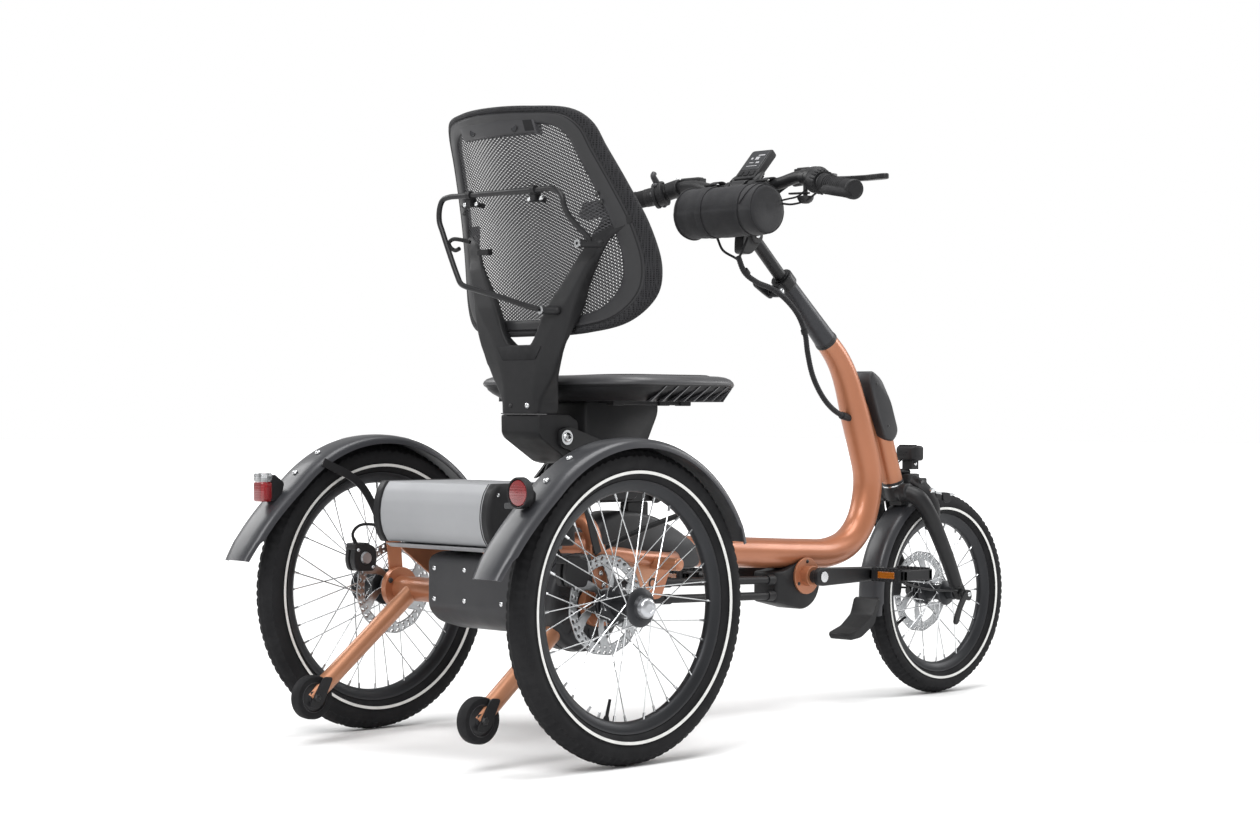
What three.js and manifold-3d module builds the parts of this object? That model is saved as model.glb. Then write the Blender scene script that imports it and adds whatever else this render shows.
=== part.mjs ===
// Adult tricycle with a mesh seat, two large rear wheels and one small front wheel.
// Millimetres, +X forward, +Y to the rider's left, +Z up. The shapes below are laid out from the
// point on the ground under the rear axle; the whole group is then moved so that the origin
// lies on the ground under the middle of the tricycle.
import * as THREE from 'three';
import { mergeVertices } from 'three/addons/utils/BufferGeometryUtils.js';
import Module from 'manifold-3d';

const wasm = await Module();
wasm.setup();

// ---- driving dimensions ----------------------------------------------------------------
const REAR_RADIUS = 250;
const FRONT_RADIUS = 199.5;
const TYRE_HALF_WIDTH = 23.5;
const TRACK = 634;
const WHEELBASE = 1172;
const HALF_TRACK = TRACK / 2;
const MIDDLE_X = 534.27;          // half way between the fender tips and the front tyre
const GAP = 0.4;                  // clearance between touching pieces

const HEAD_ANGLE = 69.8;          // steering axis of the fork, degrees from the ground
const HEAD_FOOT = [1037, 418];    // a point on that axis, x and z
const MAST_ANGLE = 42.2;          // handlebar column, degrees from the ground
const MAST_FOOT = [833, 695];     // lower end of the column, x and z
const MAST_LENGTH = 161;
const BAR = [600, 965];           // middle of the handlebar, x and z

const CRANK_AXIS = [746, 252];
const CRANK_LENGTH = 170;
const CRANK_PLANE = 68;           // sideways distance of the crank arms
const PEDAL_MIDDLE = 119;         // sideways distance of the pedals

const TIP_WHEEL = [-218, 211, 80];
const TIP_RADIUS = 37;
const ROTOR_RADIUS = 80;
const ROTOR_PLANE = 267.5;        // sideways distance of the rear brake discs
const RECLINE_PIVOT = [112, 513];
const NECK_RADIUS = 30;

// ---- colours ---------------------------------------------------------------------------
const FINISH = {
  copper: [0xb9683c, 0.38, 0.55],
  black: [0x1d1e20, 0.55, 0.1],
  anthracite: [0x3a3c3f, 0.45, 0.3],
  rubber: [0x151515, 0.85, 0],
  silver: [0xa3a6a9, 0.4, 0.8],
  steel: [0xb4b6b8, 0.3, 1],
  fabric: [0x242527, 0.95, 0],
  red: [0x8c1f2c, 0.25, 0],
};

const tricycle = new THREE.Group();
tricycle.position.x = -MIDDLE_X;

function rad(degrees) {
  return degrees * Math.PI / 180;
}

// ---- solids ----------------------------------------------------------------------------
// Turns a geometry into a manifold solid with its faces pointing out.
function solid(geometry) {
  const bare = geometry.index ? geometry.toNonIndexed() : geometry.clone();
  for (const name of Object.keys(bare.attributes)) {
    if (name !== 'position') bare.deleteAttribute(name);
  }
  const welded = mergeVertices(bare, 1e-3);
  const place = welded.attributes.position;
  const a = new THREE.Vector3();
  const b = new THREE.Vector3();
  const c = new THREE.Vector3();
  let triangles = [];
  let volume = 0;
  for (let i = 0; i < welded.index.count; i += 3) {
    const corner = [0, 1, 2].map((k) => welded.index.getX(i + k));
    if (corner[0] === corner[1] || corner[1] === corner[2] || corner[2] === corner[0]) continue;
    a.fromBufferAttribute(place, corner[0]);
    b.fromBufferAttribute(place, corner[1]);
    c.fromBufferAttribute(place, corner[2]);
    volume += a.dot(b.cross(c));
    triangles.push(corner);
  }
  if (volume < 0) triangles = triangles.map(([i, j, k]) => [i, k, j]);
  return new wasm.Manifold(new wasm.Mesh({
    numProp: 3,
    vertProperties: new Float32Array(place.array),
    triVerts: Uint32Array.from(triangles.flat()),
  }));
}

function join(pieces) {
  return pieces.map((piece) => (piece.isBufferGeometry ? solid(piece) : piece))
    .reduce((sum, piece) => sum.add(piece));
}

function cut(body, pieces) {
  return pieces.map((piece) => (piece.isBufferGeometry ? solid(piece) : piece))
    .reduce((rest, piece) => rest.subtract(piece), body.isBufferGeometry ? solid(body) : body);
}

// Adds one named mesh to the tricycle.
function add(name, finish, shape) {
  const body = shape.isBufferGeometry ? solid(shape) : shape;
  const mesh = body.getMesh();
  const geometry = new THREE.BufferGeometry();
  const corners = new Float32Array(mesh.vertProperties);
  geometry.setAttribute('position', new THREE.BufferAttribute(corners, 3));
  geometry.setIndex(new THREE.BufferAttribute(new Uint32Array(mesh.triVerts), 1));
  geometry.computeVertexNormals();
  const [color, roughness, metalness] = FINISH[finish];
  const node = new THREE.Mesh(geometry, new THREE.MeshStandardMaterial({ color, roughness, metalness }));
  node.name = name;
  tricycle.add(node);
}

// ---- shapes ----------------------------------------------------------------------------
function box(sizeX, sizeY, sizeZ, x, y, z) {
  return new THREE.BoxGeometry(sizeX, sizeY, sizeZ).translate(x, y, z);
}

// A round bar from one point to another.
function rod(from, to, radius, sides = 12, endRadius = radius) {
  const start = new THREE.Vector3(...from);
  const end = new THREE.Vector3(...to);
  const along = end.clone().sub(start);
  const bar = new THREE.CylinderGeometry(endRadius, radius, along.length(), sides);
  bar.applyQuaternion(new THREE.Quaternion().setFromUnitVectors(
    new THREE.Vector3(0, 1, 0), along.clone().normalize()));
  return bar.translate(...start.add(end).multiplyScalar(0.5).toArray());
}

function smooth(points) {
  return new THREE.CatmullRomCurve3(points.map((p) => new THREE.Vector3(...p)), false, 'centripetal');
}

function circle(radius, sides) {
  return new THREE.Shape(Array.from({ length: sides }, (_, i) => new THREE.Vector2(
    radius * Math.cos(2 * Math.PI * i / sides), radius * Math.sin(2 * Math.PI * i / sides))));
}

function sweep(section, curve, steps) {
  return new THREE.ExtrudeGeometry(section, { steps, extrudePath: curve, bevelEnabled: false });
}

function tube(points, radius, steps, sides = 12) {
  return sweep(circle(radius, sides), smooth(points), steps);
}

// A tube whose radius changes along its length.
function taperedTube(points, radiusAt, steps, sides = 16) {
  const curve = smooth(points);
  const stations = curve.getSpacedPoints(steps);
  return deform(sweep(circle(1, sides), curve, steps), (p) => {
    const distances = stations.map((s) => s.distanceTo(p));
    const nearest = distances.indexOf(Math.min(...distances));
    return p.sub(stations[nearest]).multiplyScalar(radiusAt(nearest / steps)).add(stations[nearest]);
  });
}

function deform(geometry, move) {
  const place = geometry.attributes.position;
  const p = new THREE.Vector3();
  for (let i = 0; i < place.count; i += 1) {
    const q = move(p.fromBufferAttribute(place, i));
    place.setXYZ(i, q.x, q.y, q.z);
  }
  return geometry;
}

// A turned piece about an axis along Y: profile points are [radius, y].
function turned(profile, sides, x = 0, z = 0, y = 0) {
  const points = profile.map(([r, h]) => new THREE.Vector2(r, h));
  return new THREE.LatheGeometry(points, sides).translate(x, y, z);
}

// A plate with an outline in X and Z, between two distances along Y.
function plate(outline, yLow, yHigh, holes = []) {
  const shape = new THREE.Shape(outline.map(([x, z]) => new THREE.Vector2(x, z)));
  shape.holes = holes.map((hole) => new THREE.Path(hole.map(([x, z]) => new THREE.Vector2(x, z))));
  return new THREE.ExtrudeGeometry(shape, { depth: yHigh - yLow, bevelEnabled: false })
    .rotateX(Math.PI / 2).translate(0, yHigh, 0);
}

// A plate with an outline in Y and Z, between two distances along X.
function panel(outline, xLow, xHigh, holes = []) {
  const shape = new THREE.Shape(outline.map(([y, z]) => new THREE.Vector2(y, z)));
  shape.holes = holes.map((hole) => new THREE.Path(hole.map(([y, z]) => new THREE.Vector2(y, z))));
  return new THREE.ExtrudeGeometry(shape, { depth: xHigh - xLow, bevelEnabled: false })
    .rotateX(Math.PI / 2).rotateZ(Math.PI / 2).translate(xLow, 0, 0);
}

// A plate with an outline in X and Y, between two heights.
function slab(outline, low, high) {
  const shape = new THREE.Shape(outline.map(([x, y]) => new THREE.Vector2(x, y)));
  return new THREE.ExtrudeGeometry(shape, { depth: high - low, bevelEnabled: false }).translate(0, 0, low);
}

function arcPoints(x, z, radius, from, to, count) {
  return Array.from({ length: count + 1 }, (_, i) => {
    const angle = rad(from + (to - from) * i / count);
    return [x + radius * Math.cos(angle), z + radius * Math.sin(angle)];
  });
}

// Moves the corners of an outline away from its middle.
function spread(outline, by) {
  const middle = [0, 1].map((k) => outline.reduce((sum, p) => sum + p[k], 0) / outline.length);
  return outline.map(([x, z]) => {
    const reach = Math.hypot(x - middle[0], z - middle[1]);
    return [x + 3 * by * (x - middle[0]) / reach, z + 3 * by * (z - middle[1]) / reach];
  });
}

function mirrored(side, points) {
  return points.map(([x, y, z]) => [x, side * y, z]);
}

// Points measured along and across an inclined axis in the X-Z plane.
function onAxis(foot, angle, along, across = 0, y = 0) {
  const c = Math.cos(rad(angle));
  const s = Math.sin(rad(angle));
  return [foot[0] - along * c + across * s, y, foot[1] + along * s + across * c];
}

function onHead(along, across = 0, y = 0) {
  return onAxis(HEAD_FOOT, HEAD_ANGLE, along, across, y);
}

function onMast(along, across = 0, y = 0) {
  return onAxis(MAST_FOOT, MAST_ANGLE, along, across, y);
}

// ---- wheels ----------------------------------------------------------------------------
const REAR_BEAD = 199.5;
const FRONT_BEAD = 157.5;
const RIM_DEPTH = 18.5;
const AXLE_RADIUS = 12;
const AXLE_BORE = 12.6;

function closedProfile(half) {
  return [...half, ...half.map(([r, y]) => [r, -y]).reverse(), half[0]];
}

function tyreProfile(radius, bead) {
  return closedProfile([[radius, 8], [radius - 7, 18.5], [radius - 24, TYRE_HALF_WIDTH],
    [bead + 4, 17], [bead, 11]]);
}

function rimProfile(bead) {
  return closedProfile([[bead - GAP, 12.5], [bead - 9, 12.5], [bead - RIM_DEPTH, 6]]);
}

// Spokes between the two hub flanges and the rim; neighbours lean opposite ways and pass beside
// each other, one row outside the flange and one row inside it.
function spokes(count, flangeRadius, flanges, rimRadius, crossing) {
  const perSide = count / 2;
  const pitch = 2 * Math.PI / perSide;
  const list = [];
  flanges.forEach((y, side) => {
    for (let i = 0; i < perSide; i += 1) {
      const lean = i % 2 === 0 ? 1 : -1;
      const hole = i * pitch + side * pitch / 2;
      const nipple = hole + lean * crossing * pitch;
      const hubY = y + lean * 2.6;
      const rimY = y * 0.1 + lean * 1.8;
      const from = [flangeRadius * Math.cos(hole), hubY, flangeRadius * Math.sin(hole)];
      const to = [rimRadius * Math.cos(nipple), rimY, rimRadius * Math.sin(nipple)];
      list.push(rod(from, to, 1.2, 3));
    }
  });
  return list;
}

function brakeDisc(x, y, z) {
  const openings = [rod([0, -4, 0], [0, 4, 0], 17, 16)];
  for (let i = 0; i < 5; i += 1) {
    const from = 72 * i + 8;
    const inner = arcPoints(0, 0, 27, from, from + 48, 1);
    const outer = arcPoints(0, 0, ROTOR_RADIUS - 16, from + 14, from + 62, 2);
    openings.push(plate([...inner, ...outer.reverse()], -4, 4));
  }
  return cut(rod([0, -1, 0], [0, 1, 0], ROTOR_RADIUS, 28), openings).translate([x, y, z]);
}

for (const [name, side] of [['left', 1], ['right', -1]]) {
  const y = side * HALF_TRACK;
  add(`tyre_rear_${name}`, 'rubber', turned(tyreProfile(REAR_RADIUS, REAR_BEAD), 32, 0, REAR_RADIUS, y));
  const hub = [[0, -47.5], [24, -47.5], [24, -43], [17, -40], [17, -33], [30, -30], [30, -23],
    [19, -19], [19, 19], [31, 23], [31, 30], [23, 34], [15, 37], [15, 50], [0, 50]];
  const wheel = join([
    turned(rimProfile(REAR_BEAD), 32),
    turned(hub.map(([r, h]) => [r, side * h]), 14),
    ...spokes(36, 26, [26.5 * side, -26.5 * side], REAR_BEAD - RIM_DEPTH + 3, 3),
  ]);
  const bore = rod([0, -side * 60, 0], [0, side * 12, 0], AXLE_BORE, 12);
  add(`wheel_rear_${name}`, 'anthracite', cut(wheel, [bore]).translate([0, y, REAR_RADIUS]));
  add(`brake_disc_rear_${name}`, 'steel', brakeDisc(0, side * ROTOR_PLANE, REAR_RADIUS));
}

add('tyre_front', 'rubber', turned(tyreProfile(FRONT_RADIUS, FRONT_BEAD), 30, WHEELBASE, FRONT_RADIUS));
const frontHub = [[0, -49], [11, -49], [11, -30], [24, -27], [24, -21], [16, -17], [16, 17], [24, 21],
  [24, 27], [15, 30], [24, 34], [24, 38.6], [11, 38.6], [11, 49], [0, 49]];
const frontWheel = join([
  turned(rimProfile(FRONT_BEAD), 30),
  turned(frontHub, 14),
  ...spokes(28, 20, [24, -24], FRONT_BEAD - RIM_DEPTH + 3, 2),
]);
const frontBore = rod([0, -60, 0], [0, 60, 0], 6.7, 12);
add('wheel_front', 'anthracite', cut(frontWheel, [frontBore]).translate([WHEELBASE, 0, FRONT_RADIUS]));
add('brake_disc_front', 'steel', brakeDisc(WHEELBASE, 40, FRONT_RADIUS));

// ---- main frame ------------------------------------------------------------------------
const SHELL_END = 50;
const BEAM_RADIUS = 21;
const [crankX, crankZ] = CRANK_AXIS;
const neckLine = [[90, 0, 328], [330, 0, 314], [620, 0, 299], [760, 0, 292], [840, 0, 291],
  [898, 0, 308], [938, 0, 346], [957, 0, 400], [957, 0, 445], [943, 0, 490], [919, 0, 556],
  [895, 0, 618], [880, 0, 645], [862, 0, 668], onMast(-1)];

function neck(grow = 0) {
  const radiusAt = (t) => NECK_RADIUS - 2 + grow - (t < 0.86 ? 0 : 7 * (t - 0.86) / 0.14);
  return taperedTube(neckLine, radiusAt, 28, 10);
}

function gusset(grow = 0) {
  const web = [[955, 420], [1015, 424], [985, 530], [925, 610], [905, 600]];
  return plate(spread(web, grow), -5 - grow, 5 + grow);
}

function lug(half) {
  return plate([[crankX - 30, 255], [crankX + 18, 255], [crankX + 24, 300], [crankX - 36, 302]],
    -half, half);
}

const frameSolid = join([
  neck(),
  rod(onHead(2), onHead(150), 20, 16),
  gusset(),
  lug(14),
  rod([crankX, -SHELL_END, crankZ], [crankX, SHELL_END, crankZ], 19, 14),
  rod([crankX, -34, crankZ], [crankX, -29, crankZ], 34, 14),
  rod([crankX, 29, crankZ], [crankX, 34, crankZ], 34, 14),
]);
add('main_frame', 'copper', cut(frameSolid, [
  rod(onHead(-20), onHead(170), 15.6, 12),
  rod([crankX, -99, crankZ], [crankX, 99, crankZ], 12.9, 12),
  rod(onMast(-60), onMast(20), 15.8, 12),
]));

const coverOutline = [[944, 641], [972, 624], [1003, 578], [1026, 519], [984, 506], [958, 560], [936, 618]];
add('steering_cover', 'black', cut(plate(coverOutline, -24, 24), [
  neck(1.5 * GAP),
  gusset(GAP),
  rod(onHead(0), onHead(151), 20 + GAP, 16),
  rod(onHead(100), onHead(175), 15.6, 12),
]));

// ---- rear frame ------------------------------------------------------------------------
const HOOP_X = 135;
const CROSS_X = 285;             // rear cross tube behind the seat post
const TIP_TUBE = 15;
const PLATE_THICKNESS = 4;

function rearFramePieces(grow = 0) {
  const pieces = [
    rod([0, -256 - grow, REAR_RADIUS], [0, 256 + grow, REAR_RADIUS], BEAM_RADIUS + grow, 12),
    tube([[HOOP_X, -97, 300], [HOOP_X, -96, 345], [HOOP_X, -78, 370], [HOOP_X, -40, 377],
      [HOOP_X, 40, 377], [HOOP_X, 78, 370], [HOOP_X, 96, 345], [HOOP_X, 97, 300]], 14 + grow, 10, 8),
    rod([CROSS_X, -150 - grow, 297], [CROSS_X, 150 + grow, 297], 11 + grow, 10),
    plate([[238, 292], [330, 292], [303, 236], [262, 232], [238, 252]], -90 - grow, -85 + grow,
      grow > 0 ? [] : [arcPoints(282, 262, 9, 0, 315, 7)]),
  ];
  for (const side of [1, -1]) {
    pieces.push(rod([0, side * 250, REAR_RADIUS], [0, side * 326, REAR_RADIUS], AXLE_RADIUS, 12));
    pieces.push(rod([0, side * 244, REAR_RADIUS], [0, side * 256, REAR_RADIUS], 36 + grow, 12));
    const tip = [TIP_WHEEL[0] - 4, side * TIP_WHEEL[1], TIP_WHEEL[2] - 4];
    pieces.push(rod([-6, side * 207, 248], tip, TIP_TUBE + grow, 8));
    pieces.push(tube(mirrored(side, [[0, 95, 258], [130, 95, 316], [260, 90, 307], [350, 68, 300],
      [396, 25, 300]]), 12 + grow, 7, 8));
    const deck = spread([[-118, 331], [40, 331], [12, 255], [-12, 255]], grow);
    const tab = [[-24, 346], [6, 346], [12, 255], [-12, 255]];
    const half = PLATE_THICKNESS / 2 + grow;
    pieces.push(plate(deck, side * 104 - half, side * 104 + half));
    pieces.push(plate(tab, side * 257 - half, side * 257 + half));
  }
  return pieces;
}

const [tipX, tipY, tipZ] = TIP_WHEEL;
const tipSlots = [1, -1].map((side) => box(96, 24, 96, tipX - 8, side * tipY, tipZ - 8));
const rearSolid = cut(join(rearFramePieces()), [...tipSlots, neck(GAP)]);
const tipAxles = [1, -1].map((side) => {
  const y = side * tipY;
  return rod([tipX, y - 17, tipZ], [tipX, y + 17, tipZ], 5, 10);
});
add('rear_frame', 'copper', join([rearSolid, ...tipAxles]));

for (const [name, side] of [['left', 1], ['right', -1]]) {
  const wheel = closedProfile([[TIP_RADIUS, 6], [TIP_RADIUS - 4, 10.5], [5.6, 10.5]]);
  add(`tip_wheel_${name}`, 'rubber', turned(wheel, 18, tipX, tipZ, side * tipY));
}

// ---- drive -----------------------------------------------------------------------------
const guardOutline = [...arcPoints(crankX - 6, crankZ - 12, 50, -100, 70, 7), [682, 262], [665, 262],
  [665, 205]];
add('chain_guard', 'black', cut(plate(guardOutline, -28.6, 28.6), [
  neck(GAP),
  lug(14 + GAP),
  rod([crankX, -60, crankZ], [crankX, 60, crankZ], 19 + GAP, 14),
]));
const tubeEnds = [[248, 266], [219, 236]];
add('chain_tubes', 'black', join([
  ...tubeEnds.map(([frontZ, rearZ]) => rod([60, -44, rearZ], [665 - GAP, -24, frontZ], 7.5, 10)),
  box(12, 12, 32, 240, -38, 247),
  box(12, 12, 32, 520, -29, 238),
]));

const crank = [
  rod([crankX, -CRANK_PLANE, crankZ], [crankX, CRANK_PLANE, crankZ], 12, 12),
  rod([crankX, -SHELL_END - 8, crankZ], [crankX, -SHELL_END - GAP, crankZ], 17, 12),
  rod([crankX, SHELL_END + GAP, crankZ], [crankX, SHELL_END + 8, crankZ], 17, 12),
];
for (const side of [1, -1]) {
  const reach = -side * CRANK_LENGTH;
  const outline = [[0, 17], [reach * 0.2, 11], [reach * 1.06, 8], [reach * 1.06, -8],
    [reach * 0.2, -12], [0, -17], [-reach * 0.08, -8], [-reach * 0.08, 8]];
  const arm = outline.map(([x, z]) => [crankX + x, crankZ + z]);
  const y = side * CRANK_PLANE;
  crank.push(plate(arm, y - 7, y + 7));
  crank.push(rod([crankX + reach, y, crankZ], [crankX + reach, side * (PEDAL_MIDDLE + 38), crankZ], 5, 8));
}
add('crankset', 'black', join(crank));
for (const [name, side] of [['left', 1], ['right', -1]]) {
  const x = crankX - side * CRANK_LENGTH;
  const y = side * PEDAL_MIDDLE;
  add(`pedal_${name}`, 'black', cut(box(88, 84, 26, x, y, crankZ), [
    rod([x, side * 60, crankZ], [x, side * (PEDAL_MIDDLE + 39), crankZ], 5.8, 8),
    box(24, 58, 40, x - 25, y, crankZ),
    box(24, 58, 40, x + 25, y, crankZ),
  ]));
}

const driveOutline = [[-118, 318], [-96, 326], [30, 326], [44, 300], [44, 240], [20, 205], [-40, 196],
  [-96, 212], [-118, 232]];
const DRUM_RADIUS = 78;
add('drive_cover', 'anthracite', cut(join([
  plate(driveOutline, -172, 34),
  rod([0, -226, REAR_RADIUS], [0, -170, REAR_RADIUS], DRUM_RADIUS, 20),
]), rearFramePieces(GAP)));
const fairing = [[200, 340], [214, 372], [255, 384], [300, 384], [350, 372], [400, 350], [446, 322],
  [462, 286], [440, 278], [200, 292]];
add('frame_fairing', 'anthracite', cut(plate(fairing, -36, 36), [
  neck(GAP),
  box(64, 21, 120, 325, 0, 390),
  ...rearFramePieces(GAP),
]));

// ---- battery ---------------------------------------------------------------------------
const BATTERY_FRONT = 46;
const COVER_HALF = 129;
const backLine = [[-126, 340], [-137, 360], [-142, 388], [-138, 416], [-125, 440]];
const COVER_THICKNESS = 3;
const CASE_HALF = COVER_HALF + 9;
const CAP_HALF = COVER_HALF + 20;
const shellOutline = [...backLine, [BATTERY_FRONT, 440], [BATTERY_FRONT, 338]];

function shrunk(outline, by) {
  return outline.map(([x, z]) => [x < 0 ? x + by : x - by, z > 390 ? z - by : z + by]);
}

const shellHollow = [...shrunk(backLine, COVER_THICKNESS), [BATTERY_FRONT + 10, 440 - COVER_THICKNESS],
  [BATTERY_FRONT + 10, 338 + COVER_THICKNESS]];
const coreOutline = shrunk(shellOutline, COVER_THICKNESS + GAP);
const trayOutline = [[-130, 338.4], [-120, 331.4], [38, 331.4], [38, 338.4]];
add('battery_cover', 'silver', join([
  cut(plate(shellOutline, -COVER_HALF, COVER_HALF), [plate(shellHollow, -CASE_HALF, CASE_HALF)]),
  plate(trayOutline, -122, 122),
]));
add('battery_case', 'black', join([
  plate(coreOutline, -CASE_HALF, CASE_HALF),
  plate(shellOutline, -CAP_HALF, -COVER_HALF - GAP),
  plate(shellOutline, COVER_HALF + GAP, CAP_HALF),
]));

// ---- rear mudguards, lights and brakes ---------------------------------------------------
const guardSection = new THREE.Shape([[-35, -14], [-32, -4], [-20, 0], [20, 0], [32, -4], [35, -14],
  [32.5, -14], [30, -6], [19, -2.6], [-19, -2.6], [-30, -6], [-32.5, -14]]
  .map(([x, y]) => new THREE.Vector2(x, y)));

function mudguard(x, z, radius, from, to, flare, steps, flareStart) {
  const points = Array.from({ length: 17 }, (_, i) => {
    const angle = from + (to - from) * i / 16;
    const late = Math.max(0, (angle - flareStart) / (to - flareStart));
    const r = radius + flare * late ** 1.6;
    return [x + r * Math.cos(rad(angle)), 0, z + r * Math.sin(rad(angle))];
  });
  return sweep(guardSection, smooth(points), steps);
}

function onWheel(angle, radius, y) {
  return [radius * Math.cos(rad(angle)), y, REAR_RADIUS + radius * Math.sin(rad(angle))];
}

for (const [name, side] of [['left', 1], ['right', -1]]) {
  const y = side * HALF_TRACK;
  add(`mudguard_rear_${name}`, 'anthracite', join([
    mudguard(0, REAR_RADIUS, 265, 21, 169.5, 42, 18, 134).translate(0, y, 0),
    rod(onWheel(123, 262, side * 283), [-14, side * 263.6, 334], 4, 6),
    rod(onWheel(36, 262, side * 283), [118, side * 118, 322], 4.5, 6),
  ]));
}

const lampSeat = rod([0, -360, REAR_RADIUS], [0, 360, REAR_RADIUS], 272.8, 60);
const lampBack = [[-229, 402], [-221, 402], [-212, 412], [-208, 432], [-225, 448], [-229, 448]];
add('tail_light', 'red', cut(join([
  box(24, 32, 34, -241, HALF_TRACK, 420),
  box(24, 34, 14, -241, HALF_TRACK, 443.9),
  plate(lampBack, HALF_TRACK - 12, HALF_TRACK + 12),
]), [lampSeat]));
add('reflector', 'red', cut(join([
  rod([-232, -HALF_TRACK, 433], [-224, -HALF_TRACK, 433], 21, 16),
  rod([-225.6, -HALF_TRACK, 433], [-217, -HALF_TRACK, 433], 24, 16, 16),
  plate([[-219, 412], [-208, 412], [-206, 430], [-219, 444]], -HALF_TRACK - 10, -HALF_TRACK + 10),
]), [lampSeat]));

for (const [name, side] of [['left', 1], ['right', -1]]) {
  const y = side * ROTOR_PLANE;
  add(`brake_caliper_rear_${name}`, 'black', cut(join([
    box(44, 15, 44, -70, side * (ROTOR_PLANE - 6.5), 302),
    box(44, 10, 44, -70, side * (ROTOR_PLANE + 6), 302),
    box(44, 26, 10, -82, y - side, 325),
    rod([-86, side * 258, 322], [-98, side * 258, 348], 6, 8),
  ]), [
    rod([0, side * (ROTOR_PLANE - 2.2), REAR_RADIUS], [0, side * (ROTOR_PLANE + 2.2), REAR_RADIUS], 84, 24),
    ...rearFramePieces(GAP),
  ]));
}

// ---- seat ------------------------------------------------------------------------------
const RAIL_TOP = 424;
add('seat_rail', 'black', cut(join([
  box(262, 44, 25, 236, 0, RAIL_TOP - 12.5),
  box(50, 20, 70, 325, 0, 370),
]), [neck(GAP), ...rearFramePieces(GAP)]));

const carrierOutline = [[160, 576], [335, 576], [335, 556], [310, 508], [282, 404], [186, 404], [160, 486]];
const earOutline = [[100, 524], [118, 528], [220, 500], [220, 466], [150, 486], [100, 500]];
const [reclineX, reclineZ] = RECLINE_PIVOT;
add('seat_carrier', 'black', cut(join([
  plate(carrierOutline, -50, 50),
  plate(earOutline, -54, -48.6),
  plate(earOutline, 48.6, 54),
  rod([reclineX, -58, reclineZ], [reclineX, 58, reclineZ], 6, 12),
]), [box(400, 45.2, 40, 236, 0, RAIL_TOP - 19.2)]));

const seatHalf = [[112, 0], [112, 120], [122, 165], [150, 196], [200, 206], [290, 205], [370, 190],
  [412, 150], [428, 90], [432, 0]];
const seatOutline = [...seatHalf, ...seatHalf.slice(1, -1).reverse().map(([x, y]) => [x, -y])];
const SEAT_MIDDLE = 272;
function seatLevel(size) {
  return seatOutline.map(([x, y]) => [SEAT_MIDDLE + (x - SEAT_MIDDLE) * size, y * size]);
}
const PAD_SEAT = 603;             // height of the recess that the pad lies in
add('seat_shell', 'black', cut(join([
  slab(seatOutline, 594, 612),
  slab(seatLevel(0.93), 577, 595),
]), [slab(seatLevel(0.86), PAD_SEAT, 620)]));
add('seat_pad', 'fabric', slab(seatLevel(0.857), PAD_SEAT + GAP, 619));

// ---- backrest --------------------------------------------------------------------------
const BACK_LOW = 690;
const BACK_TALL = 360;
// Forward distance of the back of the backrest at a height z and a sideways distance y.
function backX(y, z) {
  const t = Math.max(0, (z - BACK_LOW) / BACK_TALL);
  return 68 - 90 * t ** 1.5 + (1.1 + 0.8 * t ** 0.6) * y * y / 1000;
}
const backEdge = [[0, 684], [120, 688], [190, 706], [228, 745], [237, 790], [226, 860], [204, 930],
  [184, 990], [172, 1028], [150, 1048], [80, 1056], [0, 1058]];
const fullEdge = [...backEdge, ...backEdge.slice(1, -1).reverse().map(([y, z]) => [-y, z])];
const BACK_MIDDLE = 868;
const window = fullEdge.map(([y, z]) => [y * 0.8, BACK_MIDDLE + (z - BACK_MIDDLE) * 0.86]);
const edgeCurve = new THREE.CatmullRomCurve3(fullEdge.map(([y, z]) => new THREE.Vector3(y, z, 0)), true);
const windowCurve = new THREE.CatmullRomCurve3(window.map(([y, z]) => new THREE.Vector3(y, z, 0)), true);
function ringPoints(curve, count) {
  return curve.getSpacedPoints(count).slice(0, -1).map((p) => [p.x, p.y]);
}
function bend(shape) {
  return deform(shape, (p) => p.setX(p.x + backX(p.y, p.z)));
}
function backRing(from, to) {
  return bend(panel(ringPoints(edgeCurve, 36), from, to, [ringPoints(windowCurve, 36)]));
}
add('backrest_frame', 'black', backRing(0, 20));
// Half the width of the backrest's opening at a height.
function windowHalf(z) {
  const side = window.slice(0, backEdge.length);
  const next = Math.max(1, side.filter((p, i) => i < side.length - 1 && p[1] < z).length);
  const [p, q] = [side[next - 1], side[next]];
  return p[0] + (q[0] - p[0]) * (z - p[1]) / (q[1] - p[1]);
}
add('backrest_mesh', 'fabric', deform(new THREE.BoxGeometry(4, 2, 2, 1, 8, 8), (p) => {
  const z = BACK_MIDDLE + p.z * 148;
  const y = p.y * windowHalf(z) * 0.97;
  return p.set(10 + p.x + backX(y, z), y, z);
}));

const yokeRear = 52;
const yokeHalf = [[0, 552], [47, 552], [52, 574], [84, 616], [112, 662], [116, 690], [150, 750],
  [196, 850], [204, 905], [178, 905], [168, 868], [112, 742], [86, 694], [62, 668], [0, 666]];
const yokeOutline = [...yokeHalf, ...yokeHalf.slice(1, -1).reverse().map(([y, z]) => [-y, z])];
const yoke = deform(panel(yokeOutline, 0, 1), (p) => {
  const rise = Math.max(0, (p.z - 680) / 225);
  const front = 54 - 32 * Math.min(1, rise * 1.6);
  const rear = yokeRear + 34 * rise ** 1.5 - (p.z < 680 ? 0 : 8 * rise);
  return p.setX(rear + front * p.x);
});
const behindBack = bend(new THREE.BoxGeometry(82, 520, 400, 1, 16, 12).translate(38, 0, 868));
add('backrest_yoke', 'black', cut(yoke, [behindBack, backRing(-1, 60)]));
const bracket = [[55, 551.4], [58, 517], [130, 474], [146, 470], [149, 486], [144, 540], [120, 551.4]];
add('backrest_bracket', 'black', cut(plate(bracket, -47.6, 47.6), [
  rod([reclineX, -70, reclineZ], [reclineX, 70, reclineZ], 6.5, 12),
]));

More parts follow.
